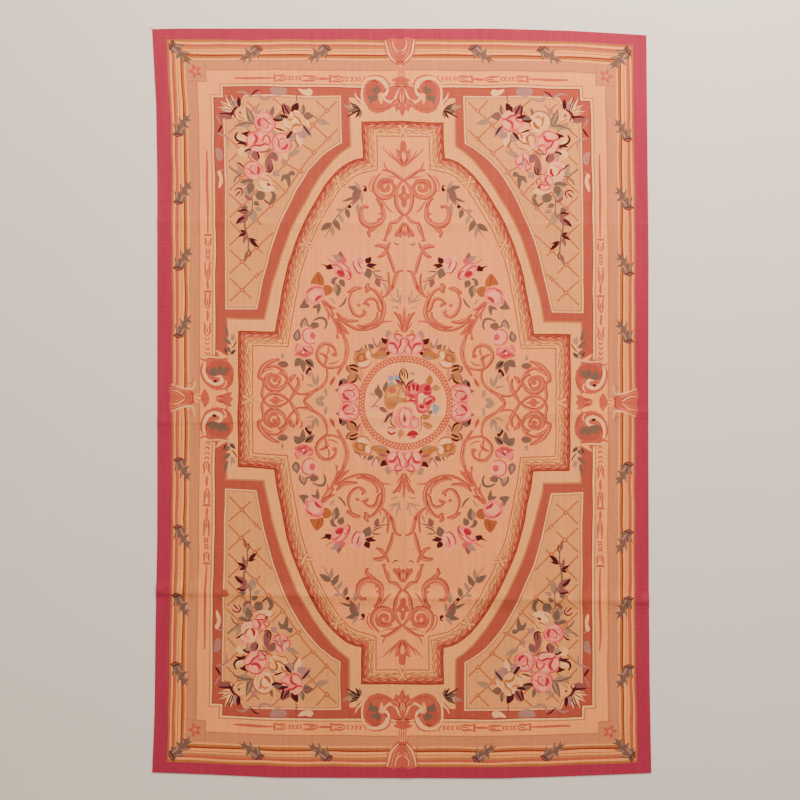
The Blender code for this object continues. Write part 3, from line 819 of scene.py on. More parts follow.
# The scroll-work of the field, from the top palmette down to the big spirals.
FIELD_SCROLLS = (
    ("coral", 0, 0, 95.8, 1.2, 95, 1.3, 92.4, 2.9, 93.2, 2, 90.6, 1.1, 88.4, 0, 86.6),
    ("peach", 0, 0, 92, 0.7, 91.2, 0.6, 89.4, 0, 88.4),
    ("coral", 0.6, 0.4, 86.4, 2.4, 88.4, 4.8, 90.4, 7.5, 93.2),
    ("coral", 0.55, 0.5, 87, 2.2, 88.8, 3.8, 90.4, 5, 92.4),
    ("coral", 0.5, 0.5, 87.6, 1.9, 89.4, 2.9, 91.6),
    ("rust", 0.35, 0.4, 87.4, 0.9, 88.6, 1.3, 89.6),
    ("coral", 0.9, 7.8, 85.3, 5.6, 85.2, 3.6, 84.2, 1.9, 83, 0.6, 82, 0, 81),
    ("coral", 0.6, 7.3, 88.2, 6.9, 86.6, 5.8, 85.4),
    ("rust", 0.35, 4.5, 84.1, 3.8, 83.6, 3.2, 83.2),
    ("coral", 0.45, 6.6, 83, 4, 82.8, 1.8, 82, 0, 81.2),
    ("coral", 1.1, 0, 81.7, 1.5, 79.8, 2.7, 77.4, 2.9, 75, 2.5, 72.3, 1.5, 70, 0, 68.3),
    ("coral", 0, 0, 79.4, 0.9, 78.2, 0.8, 76.8, 2.3, 76.2, 1.7, 74.4, 1.1, 74, 1, 72.4, 0, 71.6),
    ("cream", 0, 0, 76.1, 0.4, 75.6, 0, 75.1, -0.4, 75.6),
    ("coral", 0.9, 0, 68.9, 1.4, 67.4, 2.4, 66.4, 4, 66, 5.4, 65.6),
    ("coral", 0.8, 4.9, 66.2, 5.6, 64, 6.3, 61.6, 7.1, 59.4),
    ("coral", 0.7, 6, 59.6, 7, 59.2, 7.9, 59.6),
    ("coral", 0.4, 4.3, 65.6, 5, 63.2, 5.9, 61.4),
    ("coral", 0, 0, 65.8, 1.3, 65.1, 2.3, 63.4, 3.7, 61.8, 3.3, 60.6, 2, 60.9, 1.2, 60.2, 0.9, 61.6, 0, 61),
    ("field", 0.55, 0.5, 64.6, 0.4, 62.2),
    ("rust", 0.4, 0.9, 64.4, 1.3, 63, 1.9, 62.2),
    ("plum", 0.35, 3.8, 59, 3.4, 58.1, 2.6, 57.7, 1.9, 58.3),
    ("coral", 0, 3.6, 80.4, 4.2, 81.8, 6.8, 82.3, 9.2, 81.6, 10.1, 79.4, 9.4, 76.9, 7, 75.6, 4.6, 76.2, 3.4,
     78),
    ("field", 0.75, 9.3, 78.6, 8.6, 77.1, 6.8, 76.5, 4.9, 77.2, 4.6, 79, 5.4, 80.2),
    ("peach", 0.6, 6, 79.4, 6.7, 79.8, 7.2, 79.1, 6.6, 78.5),
    ("rust", 0.3, 5.4, 80.6, 6.8, 80.9, 8.1, 80.2),
    ("coral", 1.0, 3.2, 80, 3.3, 77.2, 4.9, 75.4, 7.4, 75, 9.6, 75.9, 10.8, 77.8, 11, 80, 10.2, 82, 8.6,
     83.8),
    ("coral", 0.55, 12.4, 77.8, 12.8, 79.6, 11.9, 81.8, 10.4, 83.3),
    ("coral", 0.6, 10.8, 77.5, 11.6, 77.6, 12.6, 77.5),
    ("pale coral", 0.5, 9.2, 84.4, 7, 83.4, 4.4, 82.2, 2.4, 82.4),
    ("coral", 1.6, 13.1, 71.6, 14.8, 71.9, 16, 70.4, 16.1, 68.2, 15.4, 66.3, 13.6, 65, 11.4, 64.9, 9.4, 65.7,
     7.9, 67.4, 7.6, 69.6, 8.2, 72.2, 9.3, 74.2, 10.3, 75),
    ("pale coral", 0.4, 15.4, 69.8, 15, 67.4, 13, 66.2, 10.6, 66.2),
    ("coral", 0.9, 8.1, 69.4, 10, 68.9),
    ("coral", 0.9, 8.8, 67.4, 10.4, 66.9),
    ("coral", 1.2, 9.6, 64.9, 11.7, 63.6, 13.1, 62.3, 12.6, 60.4),
    ("coral", 0.65, 8.2, 74.4, 6.7, 72.3, 5.5, 70.6, 4.2, 69.6),
    ("rust", 0.3, 8.5, 73.4, 8.1, 72.4, 8.1, 71.4),
    ("coral", 1.3, 10.8, 57.3, 8.6, 57.5, 6.8, 56.8, 6, 55.6),
    ("coral", 1.0, 9.8, 53.3, 8.2, 53.9, 6.9, 55, 6.2, 56.4),
    ("coral", 0.8, 5.1, 58.7, 5.6, 57.2, 6.3, 55.8),
    ("coral", 1.0, 6.4, 56.2, 5.3, 53.4, 4.3, 50.4, 3.8, 47.4),
    ("coral", 0.8, 5.9, 47.6, 5.4, 44, 5.6, 41.6, 6.8, 39.4, 8.9, 38.3),
    ("coral", 1.0, 0.7, 48.5, 2.4, 48, 3.4, 45.6, 3.9, 43.2, 5, 41.2, 6.6, 39.5),
    ("rust", 0.4, 4.1, 43, 4.5, 42.1, 4.9, 41.4),
    ("coral", 0.5, 8.4, 41.2, 8.6, 39.8, 9, 38.6),
    ("coral", 1.3, 13, 42.2, 10.9, 41.1, 9, 38.8, 7.7, 35.8, 7.6, 32.8, 8.7, 30, 11, 28, 14, 26.9, 17.4,
     26.9,
     20.6, 28.2),
    ("coral", 0.8, 9.8, 33.3, 9.8, 31.4, 11.6, 29.3, 14.6, 28, 17.4, 28.1),
    ("rust", 0.35, 8.5, 37.4, 8.4, 36, 8.6, 34.9),
    ("rust", 0.35, 14, 27.1, 15.2, 27, 16.6, 27.2),
    ("coral", 1.5, 13, 43.7, 13.9, 42.6, 13.4, 41.4, 14.4, 40.4),
    ("coral", 1.3, 15.8, 42, 17.4, 42, 19, 41.1, 20.8, 40.2),
    ("coral", 0.9, 18.6, 41, 19.7, 39, 20, 36.6, 19.4, 34.2, 18, 32.3, 16.2, 31.6, 14.8, 32.4, 15, 34.2),
    ("coral", 0.9, 13.9, 33.4, 14.8, 32.4, 16, 31.9),
    ("coral", 0, 13.2, 36.4, 14.6, 36.8, 15.6, 36, 14.4, 35.6, 13, 34.8, 12.7, 35.6),
    ("coral", 0.9, 14.8, 36.5, 13, 38, 11, 38.1, 9.8, 36.8, 9.4, 34.6, 8.6, 33.2),
    ("coral", 0, 17.6, 35.6, 16.8, 36.3, 16, 35.6, 16.8, 34.9),
    ("coral", 0.7, 4.7, 29.8, 7.6, 29.6, 10.2, 28.5, 12.4, 27.4),
    ("coral", 1.1, 24.6, 32.6, 22.4, 30.6, 19.6, 29.8, 16.8, 29.8),
    ("rust", 0.5, 23.9, 30.7, 23.2, 30.2, 22.4, 29.9),
    ("coral", 0.8, 24.2, 30.8, 22, 29.4, 20, 28, 18.4, 27.2),
    ("coral", 0, 30.4, 36.6, 29, 37.2, 26.8, 35.4, 24.6, 33.9, 26.4, 33.7, 25.3, 31.8, 26.6, 30.2, 27.2,
     31.4,
     28.2, 29.4, 28.2, 32, 29.4, 34.4),
    ("field", 0.45, 28.8, 35, 27.4, 33.4, 26.6, 31.8),
    ("rust", 0.3, 29.2, 36, 27.8, 34.8, 26.2, 34.2),
    ("coral", 0, 26.6, 30.3, 24.4, 30.6, 22.8, 28.6, 21, 26.4, 20, 24.6, 21.8, 25.2, 23, 24.6, 24.4, 25.4,
     23.9,
     23.4, 25.2, 23.2, 24.8, 25.6, 25.4, 28),
    ("rust", 0.35, 24.8, 29.4, 24, 27.8, 23, 26.2),
    ("coral", 1.4, 22.6, 25.6, 21.4, 22.6, 20.9, 19.6, 21.2, 17, 22.2, 14.2, 24.4, 10),
    ("pale coral", 0.4, 22, 23, 21.6, 20, 22, 16.8, 23, 14),
    ("rust", 0.35, 21.4, 19.4, 21.4, 18, 21.7, 16.6),
    ("coral", 0.9, 21.8, 15.2, 23.4, 13.2, 26, 12.4, 28.6, 12.6, 30.8, 14.4, 32, 17, 31.3, 19.6, 29.4, 21.2,
     27, 21, 25.4, 19.6, 24.8, 17.8, 25.4, 16.6),
    ("coral", 0.6, 24, 15.2, 26, 14, 28, 14),
    ("coral", 0, 25, 18.2, 26.3, 17.6, 26.3, 16.7, 25, 16.4, 24.4, 17.2),
    ("coral", 0.8, 31, 17.6, 29.6, 17.4, 28.3, 16.2, 28.6, 14.6, 29.2, 13),
    ("coral", 0.7, 27.9, 20.4, 27.6, 18.6, 28.2, 16.8),
    ("rust", 0.35, 29, 17, 28.2, 16.4, 27.6, 15.6),
    ("coral", 0.8, 28.6, 12.6, 27.9, 10.4, 28.4, 8, 29.4, 6.2, 31, 5, 33, 3.8, 35.4, 2.9, 38, 2.6, 40, 3.2),
    ("coral", 1.0, 36.8, -0.2, 36, 1.2, 34.4, 2.6, 31.6, 4.8),
    ("coral", 1.3, 27.3, 5.6, 25.2, 9.4),
    ("rust", 0.3, 26.9, 6.4, 26.2, 7.4, 25.6, 8.6),
    ("coral", 1.1, 42.4, -0.4, 41.2, 1.6, 39.8, 3.6, 38.8, 5.6, 38.8, 7.4, 39.4, 9),
    ("coral", 1.0, 39.6, 3.2, 41.2, 5, 42.4, 7.2, 43, 9, 44, 11, 45.6, 12.4, 48, 12.8, 50.4, 12),
    ("coral", 1.1, 41.6, 7, 41.2, 8.8, 39.8, 9.8),
    ("coral", 0.7, 38.2, 10.2, 37.3, 9, 37.7, 7.4),
    ("coral", 0.9, 42.6, 8, 44, 9.8, 45.2, 10.6, 45.8, 9.8),
    ("coral", 1.5, 45.6, 15.4, 48.2, 14.6, 50.8, 12.8, 52.4, 10.4, 52.9, 8.2, 51.6, 7.6),
    ("coral", 0.8, 51.9, 8, 51.4, 5.6, 51.8, 3, 51.8, 1.4, 51.2, 0),
    ("coral", 0.6, 51.6, 9.8, 50, 11.2, 48, 11.6),
    ("coral", 1.6, 43, 7.6, 43.8, 5.8, 45.4, 4.4, 47.6, 3.9, 49.6, 4.8, 50.6, 6.8, 50, 8.8, 48.2, 10),
    ("coral", 0, 45, 8, 46.4, 9.7, 48.4, 9.8, 50, 8.2, 50, 6, 48.4, 4.8, 46.2, 5.2),
    ("peach", 0.7, 45.9, 8, 46.4, 6.6, 47.8, 6.2, 48.8, 7.2, 48.2, 8.2),
    ("rust", 0.4, 46.6, 6.2, 46, 7, 45.9, 7.6),
    ("coral", 0.9, 51.5, -0.2, 50.2, 1.7, 48.2, 2.7, 46, 2.6, 43.8, 1.4, 42.2, -0.2),
    ("coral", 0, 50, 0, 48.6, 0.5, 47.6, 1.7, 46.4, 1.5, 45.6, 0.5, 44, 0),
    ("coral", 1.0, 0.3, 26, 0.9, 29.2, 2, 31.4, 3.8, 33.2),
    ("coral", 0.9, 0.2, 27.6, 0.9, 29.8, 1.8, 32.6),
    ("coral", 0.6, 0.8, 26.2, 1.8, 27.8, 2.6, 29.4),
    ("coral", 0.5, 0, 28, 0.3, 31, 0.2, 34.8),
)

# Leaves along the field's scrolls, and the leaves and buds of its rose groups.
FIELD_LEAVES = (
    ("taupe", 0.3, 13.8, 78.5, 17, 76.5, 20, 72.4, 23, 69.8, 25.8, 66.4, 27.5, 62.6, 29.5, 60),
    ("taupe", 1.5, 15.6, 78.1, 20.8, 79),
    ("pale mauve", 1.0, 16, 78.2, 18.1, 81.2),
    ("taupe", 2.3, 15.6, 77.8, 19.4, 75.4),
    ("mauve", 1.2, 15.8, 77.4, 19.4, 71.9),
    ("pale taupe", 0.9, 16, 77, 15.6, 72.6),
    ("taupe", 0.8, 17.4, 75.4, 23, 73.2),
    ("pale taupe", 1.1, 17.2, 73.2, 17.2, 68.4),
    ("taupe", 1.4, 21.2, 71, 20.4, 67.2),
    ("taupe", 1.7, 26.6, 65.6, 30.6, 62.7),
    ("taupe", 1.5, 25.9, 67, 23.4, 62.7),
    ("pale taupe", 1.2, 26.4, 64.6, 25.8, 60.4),
    ("pale taupe", 1.1, 24, 68.6, 22.3, 65.2),
    ("pale taupe", 1.1, 22.2, 70, 25.4, 70.6),
    ("plum", 0.4, 13.6, 78, 14.3, 77.4, 14.6, 78.2, 13.8, 79, 14.4, 79.5, 15, 79.2),
    ("plum", 0, 13.6, 77.8, 14.6, 77.6, 14.4, 78.6, 13.6, 78.7),
    ("plum", 0, 19.2, 71.6, 20, 72.4, 20.7, 71.8, 20.2, 70.9),
    ("mauve", 1.7, 23.4, 51.4, 23.6, 55.4),
    ("pale mauve", 1.6, 23, 52, 26.6, 53.8),
    ("plum", 0, 26.1, 48.9, 26.9, 50.6, 28.2, 50, 30.6, 50.5, 28.8, 49.4, 28.6, 48.4, 27.3, 48.3),
    ("plum", 1.7, 14, 50.8, 12.3, 53.4),
    ("plum", 1.1, 14.1, 50, 10, 50.3),
    ("plum", 0.35, 13.8, 49.8, 12.4, 49.4, 11, 49),
    ("taupe", 2.4, 14, 49.2, 12.7, 45.2),
    ("taupe", 0.45, 11.6, 48, 10.8, 46.6, 9.4, 45.9, 7.9, 45.4),
    ("taupe", 0.4, 11.6, 48, 10.2, 48.1, 8.6, 48),
    ("mauve", 0.4, 11.2, 46, 9.4, 45, 6, 44.3),
    ("mauve", 1.5, 10.5, 45.4, 9.2, 42.1),
    ("pale taupe", 0.6, 8, 44, 7.2, 42.4, 7, 41),
    ("taupe", 0, 24.2, 45.6, 26.2, 45.5, 27, 43.5, 25.6, 42.5, 25.3, 44.4),
    ("taupe", 1.8, 23.6, 44.9, 22, 42),
    ("taupe", 2.1, 25, 43.2, 24.3, 38.4),
    ("pale taupe", 0.8, 25.4, 43, 25.3, 39.4),
    ("taupe", 0.6, 21.2, 38.4, 22.2, 36.3, 23.9, 34.8),
    ("pale taupe", 0.5, 26.8, 38, 26, 37, 25.2, 35.8),
    ("copper", 0, 31.8, 47.4, 33.4, 45.6, 34.3, 43.2, 32.4, 43, 29.6, 42.3, 29.4, 44.6, 30.4, 46.4),
    ("copper", 0, 29.6, 42.4, 27.4, 42.4, 26.2, 41, 27.4, 39.2, 29.4, 39),
    ("rust", 0.3, 31.8, 46.6, 31.4, 45, 30.8, 43.2),
    ("taupe", 0, 38.5, 34.3, 37.4, 36.2, 36.4, 37.9, 35.9, 35.9, 34.7, 35.1, 35.6, 34.2),
    ("taupe", 0, 33.9, 34, 33.2, 35.2, 31, 35.9, 30.8, 34, 31.9, 31.6, 32.3, 34.2),
    ("taupe", 0.7, 37.7, 26.8, 38, 28.2, 36.4, 30.4, 35.6, 28, 34.6, 27.4),
    ("pale mauve", 1.3, 36.2, 29.6, 37.2, 27.2),
    ("taupe", 2.0, 34.7, 27.4, 31.2, 28.6),
    ("mauve", 0.8, 33.6, 27, 31, 27.8),
    ("taupe", 0.7, 33.4, 29.7, 31.2, 30.7, 29.2, 30.3, 28.7, 28.4, 29.4, 26.6),
    ("taupe", 2.1, 39.7, 22, 39, 26.5),
    ("pale mauve", 0.9, 39.6, 22.8, 39.2, 25.6),
    ("taupe", 2.1, 37.7, 15.6, 40.5, 12.8),
    ("taupe", 1.6, 37.3, 15.4, 36.9, 10.2),
    ("taupe", 1.9, 36, 15.3, 32.9, 12.1),
    ("plum", 0.5, 36.3, 15, 35.2, 14.2, 33.8, 13.2),
    ("plum", 0, 34.9, 12.4, 36.3, 10.4, 35.6, 9.6, 34.9, 11, 33.9, 11, 34, 12),
    ("pale mauve", 1.0, 35, 10.8, 34.5, 8.6),
    ("mauve", 1.6, 42.4, 13.2, 46.8, 13.7),
    ("taupe", 1.0, 42.6, 13.7, 46.2, 14.3),
    ("pale taupe", 0.9, 44.4, 15.4, 44.6, 17.9),
    ("pale taupe", 0.9, 32.7, 5.6, 34, 11.2),
    ("pale taupe", 0.9, 32.3, 5.6, 31.4, 9.8),
    ("pale taupe", 0.6, 32.8, 5.3, 36.7, 6.4),
    ("pale taupe", 0.9, 29, 5, 28.6, 1.4),
    ("pale taupe", 1.4, 29.2, 1.4, 33, 0.2),
    ("pale taupe", 0.4, 1.8, 36.8, 3.2, 37.4, 5.6, 39.6),
    ("pale taupe", 0.4, 1.8, 36.6, 3.6, 37, 5.9, 37.8),
    ("pale taupe", 0.4, 2, 34.2, 3, 34.8, 4.6, 35.1),
    ("pale taupe", 0.4, 1.8, 37, 2.3, 39, 2.7, 41.6),
    ("pale taupe", 0.4, 1.6, 36, 1.5, 38, 1.2, 39.4),
    ("pale taupe", 0, 7.2, 23.9, 6.9, 25.6, 6, 26.5, 4.9, 25.7, 4.5, 24.6, 5.8, 24),
)

# The loose roses of the field: rows of patches and lines, as they are drawn one by one.
FIELD_ROSES = (
    ("rose", 0, 23, 52.8, 22, 53.2, 21.2, 51.4, 22.8, 51),
    ("pink", 0, 26.4, 50.8, 24, 51.7, 21.2, 50, 19.4, 47.4, 20, 44.8, 22.2, 45.2, 24.8, 46, 26.2, 48.4),
    ("pale pink", 0, 25, 50, 23.2, 50.4, 21, 48.6, 21.2, 46.6, 23.6, 46.4, 25.2, 47.8),
    ("magenta", 0, 25, 47.4, 24.2, 48.5, 22.3, 47.9, 21.9, 46.2, 23.6, 45.9),
    ("red", 0.6, 24.2, 47.6, 23.2, 47.4, 22.4, 46.8),
    ("rose", 0.7, 26.8, 50, 25, 50.3, 23.3, 49, 22.2, 47.9),
    ("rose", 0.5, 25.6, 51.1, 23.5, 51.4, 21.5, 49.9, 20.2, 48.3, 19.5, 46.4),
    ("magenta", 0.5, 21.8, 48.7, 20.4, 47.4, 19.7, 45.6, 20.8, 44.8),
    ("rose", 0.4, 28.5, 52.8, 27.2, 51.7, 25.8, 51.2),
    ("pale pink", 0, 14, 50.6, 15.4, 53.4, 18.2, 53.6, 19.4, 51.2, 18.8, 48.2, 16.6, 46.9, 14.4, 48),
    ("pink", 0, 15.2, 52.6, 17, 53.4, 17.8, 51.6, 16.4, 50.4, 15, 51),
    ("magenta", 0.5, 18.8, 51.8, 18.9, 50.2, 18, 48.4, 16.8, 47.3, 15.4, 47.8),
    ("magenta", 0.5, 17, 51.8, 16.6, 50.2, 15.8, 48.8),
    ("rose", 0.35, 19.3, 51.6, 19, 50.8, 19.2, 50.2),
    ("pink", 0, 29.4, 40.6, 31, 42.6, 34, 42, 36.2, 40, 35.6, 36.8, 33.2, 35.2, 30.6, 36.4, 29.2, 38.4),
    ("pale pink", 0, 30.6, 40.2, 33, 41, 34.8, 39.4, 34.2, 37.2, 32, 36.6, 30.6, 38),
    ("rose", 0.5, 35.8, 39.4, 34.6, 41.2, 32.8, 41.9, 30.6, 41.7, 29.6, 41),
    ("magenta", 0.45, 35.7, 39.8, 34.8, 40.8, 33.4, 41.4),
    ("rose", 0.45, 35.3, 38.6, 35.7, 37.2, 35.4, 36),
    ("magenta", 1.1, 32.6, 36.7, 31.6, 38, 30.3, 38.8),
    ("pale pink", 0, 37.8, 24, 37, 26.4, 34.4, 27, 32.2, 25.6, 31.8, 23, 33.6, 21.2, 36, 21),
    ("rose", 0.5, 32.8, 21.6, 34.6, 20.9, 36.6, 21.9, 37.4, 24, 36.8, 26, 34.8, 26.8, 33, 26.2),
    ("rose", 0, 33.7, 25.4, 34.8, 24.4, 34.4, 22.9, 33, 22.8, 32.5, 24.2),
    ("pink", 0, 40, 20.6, 38.4, 20.8, 36.4, 20.2, 34.2, 20.2, 33.2, 18.2, 34.6, 16.4, 37.6, 16.2, 39.8,
     17.4),
    ("rose", 0, 40.2, 17.4, 37.6, 19, 36.2, 18.6, 34.4, 18.2, 33.2, 17.7, 34.8, 16.4, 36.4, 15.8, 39, 16.6),
    ("magenta", 0.5, 38.8, 17.6, 37, 17.2, 35.6, 16.6),
    ("rose", 0.45, 40, 18.6, 39.6, 20.4, 38.6, 21.2),
    ("rose", 0.45, 35.2, 20.3, 33.8, 19.4, 33.6, 18),
    ("plum", 0.4, 37.3, 19.6, 36.6, 19, 35.6, 18.2),
    ("cream", 0, 37.4, 18.2, 36.8, 18.4, 36.6, 17.6, 37.2, 17.5),
)

# The wreath round the ring: its flowers, and the leaves between them.
WREATH_ROSES = (
    ("pink", "open", 3.0, 21.4, 4.0, 100), ("pink", "cupped", 20.5, 3.4, 3.8, 150),
)
WREATH_LEAVES = (
    ("pale pink", 1.8, 0, 18.2, 5.8, 18.2),
    ("pale pink", 1.7, 17.9, 0, 17.9, 4.4),
    ("pale coral", 1.2, 16.2, 12.4, 15.8, 10.4, 16.4, 8),
    ("tan", 2.6, 6, 21.6, 11.2, 20),
    ("ochre", 3.2, 5.6, 17.9, 13, 16.6),
    ("pale taupe", 1.2, 7, 16.8, 10.4, 15.8),
    ("mauve", 0.9, 6.2, 19.8, 10.2, 19),
    ("coral", 0.45, 6.4, 19.2, 8.4, 18.8, 10.4, 19.2),
    ("plum", 0, 8.9, 23.6, 7.6, 23.3, 6.2, 23, 6.4, 21.8, 7.6, 21.3, 8.6, 22.2),
    ("plum", 0, 5.7, 19.2, 6.7, 18.3, 6.4, 17.3, 5.4, 17.9),
    ("pale pink", 2.1, 10.6, 20, 10.6, 24),
    ("mauve", 0.5, 11.9, 23.4, 11.3, 21.6, 10.4, 20.4, 9.6, 21.4, 9.3, 22.8),
    ("taupe", 1.8, 11.4, 19.6, 13.6, 21.4),
    ("taupe", 0.7, 14.8, 21.2, 14.2, 20, 14.6, 19),
    ("tan", 0, 12.6, 19.6, 16, 19.4, 18.4, 17.6, 18.8, 15.2, 17.2, 13.4, 15, 13.8, 13.2, 15.4, 12.2, 17.6),
    ("copper", 0, 14.4, 18, 17, 17.6, 18, 15.6, 16.6, 14.2, 15, 15, 14, 16.4),
    ("tan", 0, 15.4, 17.4, 16.8, 16.6, 16.6, 15.2, 15.4, 15.6),
    ("cream", 0, 13.2, 18.8, 14.4, 18, 14.2, 16.4, 13, 15.6, 12.1, 17),
    ("cream", 0, 13.2, 15.2, 15.4, 14.7, 17.4, 14.4, 16, 13, 13.8, 13.2, 12.5, 14),
    ("coral", 0.45, 12.5, 19.2, 12.1, 17.6, 13, 16.4),
    ("coral", 0.55, 17.6, 13, 15.4, 12.5, 13.6, 13.1, 12.3, 14.8),
    ("ochre", 0.6, 18.5, 17.4, 17, 18.9, 15, 19.5),
    ("mauve", 0.5, 18.3, 18.6, 17.2, 18.4, 16.4, 18.8, 15.8, 20.5),
    ("pale pink", 0.8, 17.2, 18.8, 17.6, 20.6),
    ("tan", 0, 20.6, 13.4, 17.4, 13.8, 16.8, 11.4, 18.8, 10.4, 20.8, 11.6),
    ("mauve", 0.9, 21, 13.6, 20.9, 12, 19.6, 10.7),
    ("plum", 0.75, 20.3, 13.2, 18.8, 13.6, 17.1, 12.9),
    ("plum", 0.7, 19.9, 12.4, 18.6, 12.1, 17, 11.4),
    ("tan", 0, 20.7, 9, 19.4, 10.7, 17.4, 10.9, 16.9, 9, 18.4, 7.5, 20.5, 7.1),
    ("ochre", 0.9, 19.9, 8.6, 18.6, 9.4, 17.8, 10.3),
    ("mauve", 0.6, 21, 6.9, 20.8, 9, 19.4, 10.5),
    ("plum", 0.7, 21.1, 6.8, 19.4, 7.2, 18, 8, 17.6, 9.4),
    ("mauve", 1.0, 17.6, 8.8, 16.8, 10.8),
    ("mauve", 0.6, 17.2, 9.8, 16.6, 8.6, 15.9, 7.9),
    ("taupe", 0, 20.8, 7.2, 22.2, 8.6, 23.5, 7.9, 24.1, 6, 23, 4.7, 21.8, 5.8),
    ("plum", 0, 23.6, 8, 24.2, 6, 23.2, 4.7, 22.8, 6.4, 23, 7.5),
    ("mauve", 0, 23.5, 2.9, 24.4, 3.6, 25.5, 4.4, 24.8, 4.7, 24.2, 5.1, 23.6, 4),
    ("tan", 1.3, 3.3, 24.6, 2.4, 27),
)

